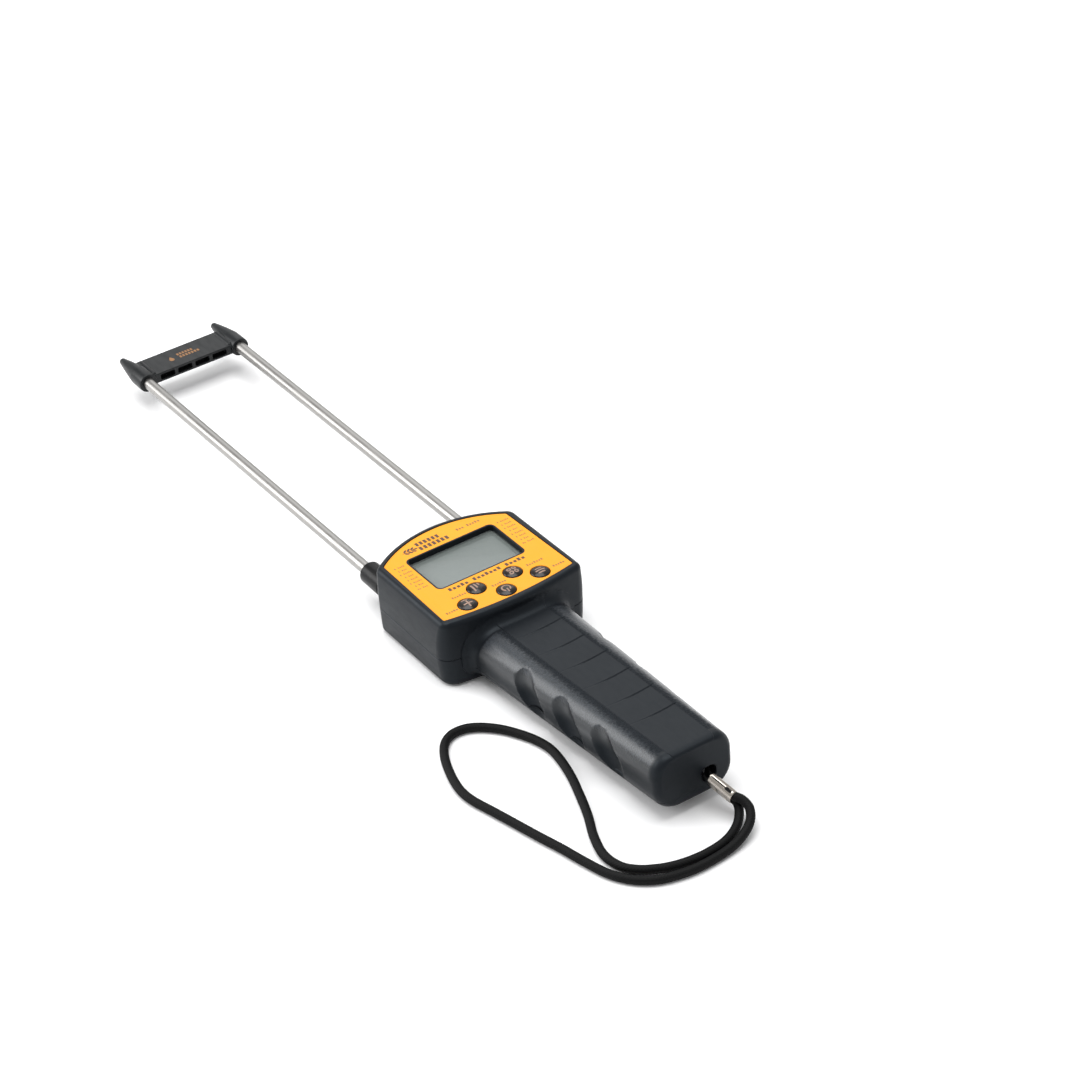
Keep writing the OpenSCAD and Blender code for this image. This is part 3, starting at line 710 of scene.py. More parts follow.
def beyond_seam(above, gap=0.04):
    """Everything above or below the joint between the halves, which steps down to the grip."""
    z = gap if above else -gap
    far = 60 if above else -20
    grip_z, head_z = GRIP_PARTING_Z + z, PARTING_Z + z
    line = [(-200, grip_z), (NECK_Y, grip_z), (NECK_Y + 5, head_z), (100, head_z)]
    outline = [*line, (100, far), (-200, far)]
    return skin([np.array([(x, y, height) for y, height in outline]) for x in (-60, 60)])


def joint_z(y):
    return GRIP_PARTING_Z if y < NECK_Y else PARTING_Z


SOCKET_R = 5.8


def on_rod(shape, side, y):
    """A shape drawn along z, laid along a rod's line from y on."""
    return placed(shape, at(side * ROD_X, y, PARTING_Z, (0, 1, 0)))


def collar_sockets():
    return [on_rod(lathe([(SOCKET_R, 0), (SOCKET_R, 20)]), side, 55) for side in (-1, 1)]


BOARD_TOP = 23.6
BOSS_TOP = PLATE_Z - 0.5
BOSS_R, BOARD_BOSS_R, POST_R = 3, 2.5, 3.4
CASE_PILOT_R, BOARD_PILOT_R = 1.3, 1.05
WELL_R = 2.8
BLOCK_Z = 8.5
DOOR = ((-14, -116.5), (14, -17))
LABEL = ((-20, 16), (20, 40))


def front_shell(casing, material):
    """The upper half: the face's opening, the button holes, bosses and the strap's pocket."""
    shape = common(casing, beyond_seam(above=True))
    bosses = [
        upright(x, y, joint_z(y), grip_top(y) - 1 if y < NECK_Y else BOSS_TOP, BOSS_R)
        for x, y, _ in CASE_SCREWS
    ]
    bosses += [upright(x, y, BOARD_TOP, BOSS_TOP, BOARD_BOSS_R) for x, y in BOARD_SCREWS]
    shape = plus(shape, *bosses, window_frame(0.75, BOSS_TOP, FACE_Z - 0.04))
    holes = [window_frame(0, LENS_TOP - 2, RIM_Z + 2)]
    holes += [upright(x, y, LENS_TOP - 2, RIM_Z + 2, BUTTON_HOLE_R, 64) for x, y in BUTTONS.values()]
    for x, y, _ in CASE_SCREWS:
        holes.append(upright(x, y, joint_z(y) - 1, joint_z(y) + 9, CASE_PILOT_R))
    holes += [upright(x, y, BOARD_TOP - 1, BOARD_TOP + 7, BOARD_PILOT_R) for x, y in BOARD_SCREWS]
    holes.append(upright(PIN[0], PIN[1], PIN[2] - PIN_HALF, PIN[2] + PIN_HALF, PIN_HOLE_R))
    shape = less(shape, *holes, *collar_sockets(), strap_recess())
    piece("casing_front", shape, material, stands_for=["front_shell"])


def rear_shell(casing, material):
    """The lower half: screw wells, the battery opening and the recess for the label."""
    shape = common(casing, beyond_seam(above=False))
    posts = [upright(x, y, seat - 2.4, joint_z(y), POST_R) for x, y, seat in CASE_SCREWS]
    posts += [upright(x, y, 1, BLOCK_Z, BOSS_R) for x, y in BLOCK_SCREWS]
    shape = plus(shape, *posts)
    wells = []
    for x, y, seat in CASE_SCREWS:
        mouth = 0 if y > NECK_Y else grip_back(y)
        flared = [(WELL_R + 0.8, mouth - 1.2), (WELL_R + 0.4, mouth), (WELL_R, mouth + 0.5)]
        well = lathe([*flared, (WELL_R, seat), (1.5, seat), (1.5, 20)], 48)
        wells.append(placed(well, at(x, y, 0)))
    wells += [upright(x, y, 3, BLOCK_Z + 1, BOARD_PILOT_R) for x, y in BLOCK_SCREWS]
    (x0, y0), (x1, y1) = DOOR
    opening = block((x0 - 0.35, y0 - 0.35, -5), (x1 + 0.35, y1 + 0.35, 9.4))
    (x0, y0), (x1, y1) = LABEL
    label = placed(rounded_box((x1 - x0, y1 - y0, 5.3), 1.2), at(0, (y0 + y1) / 2, -5))
    shape = less(shape, *wells, *collar_sockets(), opening, label)
    piece("casing_rear", shape, material, stands_for=["rear_shell"])


def window_frame(grow, low, high):
    size = (2 * (WINDOW[0] + grow), 2 * (WINDOW[1] + grow), high - low)
    return placed(rounded_box(size, 2.2 + grow, 8), at(0, WINDOW_Y, low))


def battery_door(grip, cavity, material):
    """The door: a panel of the grip's own surface, with finger ridges, an arrow, two
    tongues at the head end and a snap at the other."""
    (x0, y0), (x1, y1) = DOOR
    panel = placed(rounded_box((x1 - x0, y1 - y0, 13), 0.8), at(0, (y0 + y1) / 2, -5))
    shape = less(common(grip, panel), cavity)
    for side in (-1, 1):
        z = grip_back(y1)
        middle = side * 8
        shape = plus(
            shape,
            block((middle - 2.5, y1 - 3, z + 1.5), (middle + 2.5, y1, z + 2.9)),
            block((middle - 2.5, y1 - 1.5, z + 2.7), (middle + 2.5, y1 + 1.1, z + 3.7)),
        )
    shape = plus(shape, block((-4, y0 + 0.6, grip_back(y0) + 1.5), (4, y0 + 1.6, grip_back(y0) + 4.1)))
    ridge = lathe([(0.05, 0), (0.6, 0.6), (0.6, 13.4), (0.05, 14)], 16)
    ridges = [
        placed(ridge, at(-7, y, grip_back(y) - 0.25, (1, 0, 0)))
        for y in np.arange(y0 + 5, y0 + 15, 2)
    ]
    arrow_y = y0 + 24
    outline = np.array([(0, -5), (5, 1), (2, 1), (2, 6), (-2, 6), (-2, 1), (-5, 1)])
    arrow = skin([level(outline + (0, arrow_y), z) for z in (-2, grip_back(arrow_y) + 0.35)])
    shape = less(shape, *ridges, arrow)
    piece("battery_cover_panel", shape, material, "battery_cover", ["battery_door"])


charcoal = (0.0078, 0.0094, 0.0118)


def casing_finish():
    """Charcoal plastic: a fine grain all over, glossy flanks and a leather grain high on the
    grip whose pale tops are painted glints, painted shade next to the smooth panel, and a
    lighter band below the head's rim that is partly rubbing and partly a painted highlight."""
    nodes = Nodes("casing_plastic")
    x, y, z = nodes.drawn()
    down = nodes.times(nodes.plus(y, -GRIP_FROM), -1 / (GRIP_FROM - GRIP_END))
    rise = nodes.minus(z, nodes.times(down, TOP_CLIMB))
    on_grip = nodes.between(y, NECK_Y - 0.5, NECK_Y + 1, 1, 0)
    below_panel = nodes.between(rise, 26.1, 26.3, 1, 0)
    off_end = nodes.between(y, GRIP_END + 4, GRIP_END + 7)
    flank = nodes.times(on_grip, below_panel, off_end)
    uneven_rise = nodes.plus(rise, nodes.times(nodes.noise(3, 4), 3))
    leather = nodes.times(flank, nodes.between(uneven_rise, 19.5, 24.5))
    # The band of leather next to the smooth panel that gets painted shade
    aside = nodes.plus(nodes.math("ABSOLUTE", x, 0), nodes.times(nodes.noise(1.2, 3), 4))
    painted_shade = nodes.times(leather, nodes.between(aside, 15.5, 19.5, 1, 0))
    glossy = nodes.times(flank, nodes.between(rise, 12, 20), nodes.minus(1, painted_shade))
    hide = nodes.times(nodes.plus(nodes.cells(0.8), nodes.times(nodes.noise(0.5, 3), 0.7)), leather)
    # A lighter, smoother band below the head's top rim: partly rubbing, partly a painted highlight along
    # the rim
    rim_rub_and_highlight = nodes.times(nodes.between(z, RIM_Z - 2.4, RIM_Z - 0.3), nodes.noise(3, 4))
    colours = nodes.mix(nodes.noise(14, 2), rgb(charcoal, 0.85), rgb(charcoal, 1.15))
    colours = nodes.mix(nodes.times(rim_rub_and_highlight, 0.4), colours, rgb(charcoal, 1.6))
    # The pale tops of the leather grain are painted glints of the light on the shoulder; the grain's
    # relief itself is real
    colours = nodes.mix(nodes.between(hide, 0.5, 0.95, 0, 0.7), colours, rgb(charcoal, 3.4))
    # Painted shade: the leather next to the smooth panel is darkened, standing in for its self-shadowing
    colours = nodes.mix(nodes.times(painted_shade, 0.6), colours, rgb(charcoal, 0.3))
    shine = nodes.between(nodes.noise(2.2, 6, (1, 0.3, 1)), 0.35, 0.75, 0.40, 0.46)
    shine = nodes.minus(shine, nodes.times(rim_rub_and_highlight, 0.1))
    shine = nodes.plus(shine, nodes.times(painted_shade, 0.25))
    shine = nodes.minus(shine, nodes.times(glossy, 0.08))
    fine = nodes.bump(nodes.noise(0.3, 2), 0.012)
    return nodes.surface(
        Base_Color=colours, Roughness=shine, Specular_IOR_Level=0.17,
        Specular_Tint=(0.80, 0.91, 1, 1), Coat_Weight=nodes.times(glossy, 0.9),
        Coat_Roughness=0.34, Normal=nodes.bump(hide, 0.3, fine),
    )


casing_plastic = casing_finish()
grip = grip_solid()
hollow = plus(head_cavity(), grip_cavity())
pocket_walls = common(strap_recess(1.4), grip)
hollow_less_pocket = less(hollow, pocket_walls)
casing = less(plus(head_solid(), grip), hollow_less_pocket)
front_shell(casing, casing_plastic)
rear_shell(casing, casing_plastic)
battery_door(grip, grip_cavity(), casing_plastic)

# ---------- display face ----------


def yellow_finish():
    """The face's satin printed film: a fine emboss, faint mottling and handling marks."""
    nodes = Nodes("faceplate_yellow")
    colours = nodes.mix(nodes.noise(12, 3), (0.84, 0.315, 0.010), (0.90, 0.345, 0.014))
    shine = nodes.between(nodes.noise(3, 6, (1, 0.2, 1)), 0.3, 0.75, 0.30, 0.44)
    emboss = nodes.bump(nodes.noise(0.4, 2), 0.008)
    return nodes.surface(
        Base_Color=colours, Roughness=shine, Normal=emboss, Specular_IOR_Level=0.22
    )


def ink_finish(name, colour):
    """Screen-printed ink with slightly uneven cover."""
    nodes = Nodes(name)
    patchy = nodes.noise(0.6, 4)
    colours = nodes.mix(patchy, rgb(colour, 0.8), rgb(colour, 1.35))
    return nodes.surface(Base_Color=colours, Roughness=0.5, Normal=nodes.bump(patchy, 0.006))


def spun(outline, turn, x, y):
    """An outline turned by an angle in degrees and moved to x and y."""
    a = math.radians(turn)
    spin = np.array([[math.cos(a), math.sin(a)], [-math.sin(a), math.cos(a)]])
    return outline @ spin + (x, y)


def bar(x, y, length, height, turn=0.0):
    """A flat mark with round ends, centred on x and y."""
    r = height / 2
    half = length / 2 - r
    outline = np.concatenate([arc((half, 0), r, -90, 90, 6), arc((-half, 0), r, 90, 270, 6)])
    return spun(outline, turn, x, y)


def oval(x, y, length, width, turn):
    """A grain: an oval, turned by an angle in degrees."""
    return spun(arc((0, 0), (length / 2, width / 2), 0, 345, 23), turn, x, y)


def drop(x, y, size):
    """A drop of water, point upwards."""
    tip = [(0.02 * size, 0.7 * size), (-0.02 * size, 0.7 * size)]
    return np.concatenate([arc((0, 0), size * 0.36, -215, 35, 24), tip]) + (x, y)


def raised(outlines, low, high):
    return joined(*[skin([level(outline, low), level(outline, high)]) for outline in outlines])


def print_on(name, marks, z, ink):
    """A piece of ink that stands just proud of a surface at height z."""
    piece(name, raised(marks, z - 0.02, z + 0.03), ink)


def ringed(x, y, outer, inner, start, end, steps=28):
    """Part of a flat ring."""
    return np.concatenate([
        arc((x, y), outer, start, end, steps), arc((x, y), inner, end, start, steps)
    ])


def faceplate(material):
    """The yellow face with its window and button openings and softened edges."""
    inset, edge = 0.08, 0.14
    rings = [(PLATE_Z, inset), (FACE_Z - edge, inset), (FACE_Z, inset + edge)]
    shape = skin([face_ring(z, pulled) for z, pulled in rings])
    mouth_r = BUTTON_HOLE_R + 0.12
    hole = lathe([(BUTTON_HOLE_R, -2), (BUTTON_HOLE_R, 0.9), (mouth_r, 1.02), (mouth_r, 3)], 72)
    holes = [placed(hole, at(x, y, PLATE_Z)) for x, y in BUTTONS.values()]
    shape = less(shape, window_frame(0.8, PLATE_Z - 1, FACE_Z + 1), *holes)
    piece("faceplate_film", shape, material, stands_for=["faceplate"])


def print_row(x, y, groups, pitch, height, even=False):
    """A row of small blocks in groups, centred on x and y, in place of the words there.
    even keeps all the blocks the same height."""
    place = x - pitch * (sum(groups) + len(groups) - 2) / 2
    base, half = y - height / 2, 0.33 * pitch
    marks = []
    for group in groups:
        for i in range(group):
            top = base + (height if even or i % 3 == 0 else 0.72 * height)
            left, right = place - half, place + half
            marks.append(np.array([(left, base), (right, base), (right, top), (left, top)]))
            place += pitch
        place += pitch
    return marks


def ear_of_grain(x, y):
    """Three pairs of grains and one at the top, along x."""
    grains = [oval(x + 2.6, y, 2.3, 1.1, 0)]
    for i in range(3):
        for side in (-1, 1):
            grains.append(oval(x - 2.4 + 1.9 * i, y + side * 1.15, 2.5, 1.15, side * 38))
    return [*grains, bar(x - 1, y, 6.4, 0.3)]


def face_prints(bold, thin):
    """Generic marks in place of the words: an ear of grain and two bold rows above the
    window, one below it, and thin rows beside the window and by each button."""
    marks = ear_of_grain(-17.3, 55.5)
    marks += print_row(-6.9, 57.9, (6,), 2.2, 2.7, even=True)
    marks += print_row(-5.4, 54.1, (7,), 2.35, 2.8, even=True)
    marks += print_row(0, 18.3, (5, 7, 5), 2.2, 2.3)
    print_on("face_prints_bold", marks, FACE_Z, bold)
    marks = print_row(14.5, 56.2, (3, 5), 1.45, 1.8)
    left = ((1, 4), (1, 3), (1, 5), (1, 3), (1, 4), (1, 5), (1, 3), (2, 3))
    right = ((1, 5), (1, 4), (1, 5), (1, 3), (1, 5), (1, 4), (1, 3), (2, 4))
    for i in range(8):
        marks += print_row(-28.5, 47.6 - 2.85 * i, left[i], 0.9, 1.15)
        marks += print_row(29.1, 48.8 - 3.05 * i, right[i], 0.9, 1.15)
    beside = [(-28.3, 3.7, 5), (-19.3, 11.9, 6), (0.1, 8.4, 6), (21.9, 11.8, 7), (29.6, 3.75, 5)]
    for x, y, count in beside:
        marks += print_row(x, y, (count,), 1.3, 1.5)
    print_on("face_prints_thin", marks, FACE_Z, thin)


BUTTON_TOP = corners("button_power")[1][2] - 0.06
DOME_H = 1.1


def dome_z(radius):
    """Height of a button's domed top at a distance from its middle."""
    dome_r = (BUTTON_R**2 + DOME_H**2) / (2 * DOME_H)
    return BUTTON_TOP - dome_r + math.sqrt(dome_r**2 - radius**2)


def dome(angles, rise=0.0):
    """Points down a button's dome, or rise above it, at angles from the upright."""
    return [(r, dome_z(r) + rise) for r in BUTTON_R * np.sin(np.radians(angles))]


def cross(x, y, size, width):
    w, h = width / 2, size / 2
    quarter = np.array([(h, -w), (h, w), (w, w)])
    return np.concatenate([spun(quarter, turn, x, y) for turn in (0, 90, 180, 270)])


def button_icon(kind):
    """Flat outlines of the mark on a button, which don't touch each other."""
    return {
        "limit": [cross(0, 0.6, 4.6, 0.8), bar(0, -2.6, 3.6, 0.75)],
        "power": [ringed(0, -0.2, 2.35, 1.65, 122, 418), bar(0, 1.6, 2.5, 0.7, 90)],
        "auto": [bar(0, 1.7, 3.6, 0.75), bar(0, 0.1, 5, 0.75), bar(0, -1.5, 3.6, 0.75)],
        "adjust": [bar(1.7 * i, 0.7 * i - 0.6, 3.8 + 1.4 * i, 0.8, 90) for i in (-1, 0, 1)],
        "species": [ringed(x, y, 1.15, 0.5, 0, 352) for x in (-1.3, 1.3) for y in (-1.3, 1.3)],
    }[kind]


def on_dome(outlines, x, y):
    """Thin raised marks that follow the dome."""
    rises = dome([72, 60, 50, 40, 30, 20, 10, 1], 0.05)
    cap = lathe([(rises[0][0], BUTTON_TOP - 2), *rises], 72)
    marks = raised(outlines, BUTTON_TOP - 1.5, BUTTON_TOP + 0.5)
    return placed(common(cap, marks), at(x, y, 0))


def push_buttons(material, icon_material):
    """Domed caps with a flange under the casing's face and a stem to the switch."""
    flange = LENS_TOP - 0.35
    flange_r = BUTTON_R + 0.7
    edge = dome_z(BUTTON_R * 0.985) - 0.06
    for name, (x, y) in BUTTONS.items():
        low = corners(f"button_{name}")[0][2]
        profile = [
            (1.85, low), (2, low + 0.15), (2, flange - 1), (flange_r - 0.1, flange - 1),
            (flange_r, flange - 0.9), (flange_r, flange), (BUTTON_R, flange),
            (BUTTON_R, edge - 0.22), (BUTTON_R - 0.05, edge - 0.06),
            *dome([76, 60, 45, 32, 20, 10, 2]),
        ]
        cap, icon = placed(lathe(profile, 72), at(x, y, 0)), on_dome(button_icon(name), x, y)
        body = f"{name}_button"
        piece(f"{body}_cap", cap, material, body, [f"button_{name}"], sharp=40)
        piece(f"{body}_icon", icon, icon_material, body, sharp=30)


def lcd_finish():
    """The display seen through its window: grey-green, paler towards the grip where a painted
    reflection lies on it, with a painted glare along the reflection's diagonal edge and the
    faint mottling of the reflector behind it."""
    nodes = Nodes("lcd_panel")
    x, y, _ = nodes.drawn()
    slope = nodes.plus(nodes.times(x, 0.55), y)
    # A painted reflection: the display is paler towards the grip, with a diagonal edge
    painted_reflection = nodes.between(slope, WINDOW_Y - 20, WINDOW_Y + 20)
    colours = nodes.mix(painted_reflection, (0.60, 0.64, 0.635), (0.20, 0.23, 0.22))
    # A painted glare that lightens the reflection and ends along its edge
    glare = nodes.between(slope, WINDOW_Y + 4, WINDOW_Y + 7, 0.16, 0)
    colours = nodes.mix(glare, colours, (0.66, 0.69, 0.68))
    speckle = nodes.bump(nodes.noise(0.25, 2), 0.004)
    return nodes.surface(Base_Color=colours, Roughness=0.42, Normal=speckle)


def window_finish():
    """The clear window: a thin tinted sheet with a soft gloss and faint rub marks."""
    nodes = Nodes("clear_window")
    marks = nodes.noise(2.2, 6, (1, 0.3, 1))
    shine = nodes.between(marks, 0.35, 0.75, 0.10, 0.2)
    return nodes.surface(
        Base_Color=(0.22, 0.25, 0.24, 1), Roughness=shine, Alpha=0.45, IOR=1.49,
        Normal=nodes.bump(marks, 0.003),
    )


def lcd_window(material):
    size = (2 * WINDOW[0] + 3.2, 2 * WINDOW[1] + 3.2, 1)
    shape = placed(rounded_box(size, 1.5, 6, ends=0.12), at(0, WINDOW_Y, LENS_TOP - 1))
    piece("window_lens", shape, material, stands_for=["lcd_window"])


faceplate(yellow_finish())
face_prints(ink_finish("ink_brown", (0.075, 0.034, 0.012)), ink_finish("ink_thin", (0.26, 0.125, 0.02)))
gloss_black = moulded(
    "button_gloss", (0.009, 0.006, 0.0045), 0.26, depth=0.001, Specular_IOR_Level=0.3,
    Coat_Weight=0.12, Coat_Roughness=0.12,
)
push_buttons(gloss_black, ink_finish("icon_bronze", (0.27, 0.17, 0.125)))
lcd_window(window_finish())

# ---------- probe ----------

TIP = corners("tip_bridge")
CONE_FROM = TIP[0][1]
CONE_R = 5
NOSE_R = 1.9


def probe_rods(material):
    """Stainless tubes, their ends slightly chamfered."""
    for name, side in (("left", -1), ("right", 1)):
        low, high = corners(f"probe_rod_{name}")
        shape = on_rod(tube(ROD_R, ROD_R - 0.6, high[1] - low[1], 0.2), side, low[1])
        piece(f"rod_{name}", shape, material, stands_for=[f"probe_rod_{name}"])


def rod_collars(material):
    """Black bushes, slightly tapered, with a groove near the head and a rounded mouth."""
    groove = [(5.72, 6.6), (5.45, 6.8), (5.45, 7.3), (5.7, 7.5)]
    mouth_r, bend = 5.6, 1.3
    for name, side in (("left", -1), ("right", 1)):
        low, high = corners(f"rod_collar_{name}")
        length = high[1] - low[1]
        mouth = [
            (mouth_r - bend * (1 - math.cos(a)), length - bend * (1 - math.sin(a))) for a in EDGE_ANGLES
        ]
        profile = [(ROD_R, 0), (5.65, 0), (5.75, 0.2), *groove, *mouth]
        profile += [(ROD_R + 0.4, length), (ROD_R, length - 0.5)]
        shape = on_rod(lathe(profile, 72, looped=True), side, low[1])
        piece(f"collar_{name}", shape, material, stands_for=[f"rod_collar_{name}"])


def tip_cone(side):
    """One point of the probe: a socket for the rod that tapers to a round nose."""
    length = TIP[1][1] - CONE_FROM
    taper_from, nose_from = 9.5, length - NOSE_R
    t = np.linspace(0, 1, 9)
    narrowing = CONE_R + (NOSE_R - CONE_R) * (0.75 * t + 0.25 * t**2)
    taper = np.column_stack([narrowing, taper_from + (nose_from - taper_from) * t])
    nose = [
        (NOSE_R * math.cos(a), nose_from + NOSE_R * math.sin(a))
        for a in np.radians([18, 36, 54, 72, 86])
    ]
    rim = [(CONE_R - 0.55, 0), (CONE_R - 0.25, 0.12), (CONE_R - 0.1, 0.45), (CONE_R, 1.6)]
    return on_rod(lathe([*rim, *taper, *nose]), side, CONE_FROM)


def tip_bridge(material, gold):
    """The moulded bar between the points, cored out on the head's side between ribs."""
    length, thick = 17.5, 5.4
    middle, top = CONE_FROM + 1 + length / 2, PARTING_Z + thick / 2
    bar_size, fillet_size = (2 * ROD_X, length, thick), (3.2, length - 1, 7.2)
    body = placed(rounded_box(bar_size, 0.6, 3, ends=0.45), at(0, middle, top - thick))
    fillet = rounded_box(fillet_size, 1.2, 4, ends=1.5)
    fillets = [placed(fillet, at(side * (ROD_X - 4.6), middle, PARTING_Z - 3.6)) for side in (-1, 1)]
    pocket = rounded_box((8.4, 3.2, 5), 0.8, 4)
    pockets = [
        placed(pocket, at(10.2 * (i - 1.5), CONE_FROM - 0.5, PARTING_Z, (0, 1, 0))) for i in range(4)
    ]
    socket = lathe([(ROD_R + 0.25, -1), (ROD_R, 0.3), (ROD_R, 2)], 48)
    shape = plus(plus(body, tip_cone(-1), tip_cone(1)), *fillets)
    shape = less(less(shape, *pockets), *[on_rod(socket, side, CONE_FROM) for side in (-1, 1)])
    piece("tip_bar_and_points", shape, material, stands_for=["tip_bridge"])
    marks = [drop(-8.4, middle - 1.2, 3.8)]
    marks += print_row(0.3, middle + 1.5, (6,), 1.6, 1.9, even=True)
    marks += print_row(1.8, middle - 1.3, (7,), 1.7, 2, even=True)
    print_on("tip_print", marks, top, gold)


probe_rods(metal("stainless_rod", (0.34, 0.332, 0.32), 0.34, (1, 0.01, 1), 0.4, 0.004))
black_plastic = moulded(
    "black_plastic", (0.0045, 0.0046, 0.005), 0.34, depth=0.008, Specular_IOR_Level=0.17
)
rod_collars(black_plastic)
tip_plastic = moulded(
    "tip_plastic", (0.008, 0.0092, 0.0103), 0.36, depth=0.008, Specular_IOR_Level=0.24
)
tip_bridge(tip_plastic, ink_finish("ink_gold", (0.22, 0.10, 0.03)))

# ---------- wrist strap ----------

CRIMP_FROM = np.array([6.2, -233.4, 13.5])
CRIMP_TO = np.array([9.5, -245, 8.9])
CRIMP_LEAN = 25
CRIMP_R = 2.4
PINCHES = (4.5, 10)
PINCH_DEPTH, PINCH_HALF = 0.45, 1.1
BRAID_DIP, BRAID_RELIEF = 0.18, 0.15


def strap_crimp(material, lining):
    """A metal strip folded round the strap's two ends: an open seam along its upper edge
    that ends in a slot, both with the strap's cloth behind them, and two pinches."""
    length = np.linalg.norm(CRIMP_TO - CRIMP_FROM)
    half = STRAP_D / 2

    def ring(z, inset):
        r = CRIMP_R - inset
        flat = np.concatenate([
            arc((half, 0), r, -90, 90, 14),
            np.column_stack([np.linspace(half, -half, 12)[1:-1], np.full(10, r)]),
            arc((-half, 0), r, 90, 270, 14),
            np.column_stack([np.linspace(-half, half, 12)[1:-1], np.full(10, -r)]),
        ])
        pinch = sum(PINCH_DEPTH * math.exp(-((z - pinched) / PINCH_HALF) ** 2) for pinched in PINCHES)
        flat[:, 1] *= 1 - pinch / CRIMP_R * (np.abs(flat[:, 0]) < half + 0.4)
        return level(flat, z)

    mouth = [(1.2, 0.5), (0, 0.5), (0, 0.15)]
    rings = [ring(z, inset) for z, inset in mouth]
    rings += [ring(z, 0) for z in np.linspace(0.3, length - 0.3, 44)]
    rings += [ring(length - z, inset) for z, inset in reversed(mouth)]
    side, slot_z = -half - CRIMP_R, length - 2.9
    seam = block((side - 1, -0.3, -1), (side + 0.5, 0.3, slot_z - 0.6))
    slot = placed(rounded_box((1.5, 3.4, 3), 0.7), at(side + 0.7, 0, slot_z, (-1, 0, 0)))
    strip = less(less(skin(rings), seam), slot)
    cloth = joined(
        block((side + 0.14, -0.4, 0.6), (side + 0.9, 0.4, slot_z - 0.9)),
        placed(rounded_box((1.7, 3.6, 1), 0.8), at(side + 1.25, 0, slot_z, (-1, 0, 0))),
    )
    place = Matrix.Translation(CRIMP_FROM) @ crimp_turn()
    return [
        piece("crimp_ferrule", placed(strip, place), material,
              stands_for=["strap_crimp"], drawn=False),
        piece("crimp_lining", placed(cloth, place), lining, drawn=False),
    ]


def crimp_turn():
    """The crimp's lie: along its axis, leaning about it."""
    axis = CRIMP_TO - CRIMP_FROM
    axis /= np.linalg.norm(axis)
    swing = Matrix.Rotation(math.atan2(axis[1], axis[0]), 4, "Z")
    tilt = Matrix.Rotation(math.acos(axis[2]), 4, "Y")
    return swing @ tilt @ Matrix.Rotation(math.radians(CRIMP_LEAN), 4, "Z")


def strap_tether(material):
    """The thin twisted cord from the pin to the crimp."""
    axis = (CRIMP_TO - CRIMP_FROM) / np.linalg.norm(CRIMP_TO - CRIMP_FROM)
    aside = np.array([axis[1], -axis[0], 0])
    aside *= 1.6 / np.linalg.norm(aside)
    inside, outside = CRIMP_FROM + 0.5 * axis, CRIMP_FROM - 1.2 * axis
    pin = np.array([PIN[0], PIN[1] + FACE_Y, PIN[2]])
    loop = [(1.9, -0.4, 0), (1.3, 1.5, 0), (0, 2, 0), (-1.3, 1.5, 0), (-1.9, -0.4, 0)]
    route = [inside - aside, outside - aside, *[pin + offset for offset in loop]]
    route += [outside + aside, inside + aside]
    path = evenly(smoothed(route, 12), 0.12)

    def twist(along, turn):
        return 0.7 - 0.1 * np.abs(np.sin(1.5 * turn + along * 2.2))

    return piece("tether_loop", swept(path, twist, 18), material,
                 stands_for=["strap_tether"], sharp=180, drawn=False)


def strap_cord(material):
    """The braided strap: two sets of strands that cross over and under each other."""
    path = evenly(smoothed(STRAP_ROUTE, 16), 0.3)
    path[:, 2] = np.maximum(path[:, 2], STRAP_Z)
    strands, pitch = 8, 11.0

    def braid(distance, turn):
        lead = 2 * math.pi * distance / pitch
        weave = np.maximum(np.sin(strands * (turn + lead)), np.sin(strands * (turn - lead)))
        return STRAP_D / 2 - BRAID_DIP + BRAID_RELIEF * weave

    cord = piece("wrist_strap", swept(path, braid, 48), material,
                 stands_for=["strap_cord"], sharp=180, drawn=False)


def cord_finish(name, colour, size):
    """Matt polyester yarn with uneven fibres."""
    nodes = Nodes(name)
    yarn = nodes.noise(size, 5)
    return nodes.surface(
        Base_Color=nodes.mix(yarn, rgb(colour, 0.6), rgb(colour, 1.7)), Roughness=0.62,
        Specular_IOR_Level=0.16, Normal=nodes.bump(yarn, 0.04),
    )


braid_finish = cord_finish("strap_braid", (0.0032, 0.0033, 0.0035), 0.35)
crimp = strap_crimp(metal("crimp_nickel", (0.50, 0.46, 0.41), 0.2, (1, 1, 1), 0.5, 0.015), braid_finish)
tether = strap_tether(cord_finish("tether_cord", (0.0035, 0.0035, 0.004), 0.2))
strap_cord(braid_finish)

# ---------- the back's screws and label ----------


def cross_headed(seat, tip, head_r, head_h, shank_r, slot_l):
    """A screw driven from below: a crowned head with a cross recess and a threaded shank."""
    crown = [
        (head_r * math.sin(a), seat - head_h * math.cos(a)) for a in np.radians([2, 20, 40, 60, 75])
    ]
    collar = [(head_r, seat - 0.3), (head_r, seat), (shank_r, seat + 0.05)]
    pitch, depth = 0.35, 0.18
    thread = [
        (shank_r - depth * (i % 2), seat + 0.4 + pitch * i)
        for i in range(round((tip - seat - 1.4) / pitch))
    ]
    head = lathe([*crown, *collar, *thread, (shank_r / 2, tip - 0.3), (0.1, tip)], 40)
    recess = skin([
        level(cross(0, 0, slot_l * grow, 0.8 * grow), z)
        for z, grow in ((seat - head_h - 1, 1.1), (seat - 0.6, 0.6))
    ])
    return less(head, recess)


def case_screws(material):
    highest = corners("case_screws")[1][2]
    screws = []
    for x, y, seat in CASE_SCREWS:
        tip = min(joint_z(y) + 6, highest)
        screw = cross_headed(seat, tip, head_r=2.7, head_h=1.9, shank_r=1.15, slot_l=3.2)
        screws.append(placed(screw, at(x, y, 0)))
    piece("case_screw_set", joined(*screws), material,
          stands_for=["case_screws"], sharp=40)


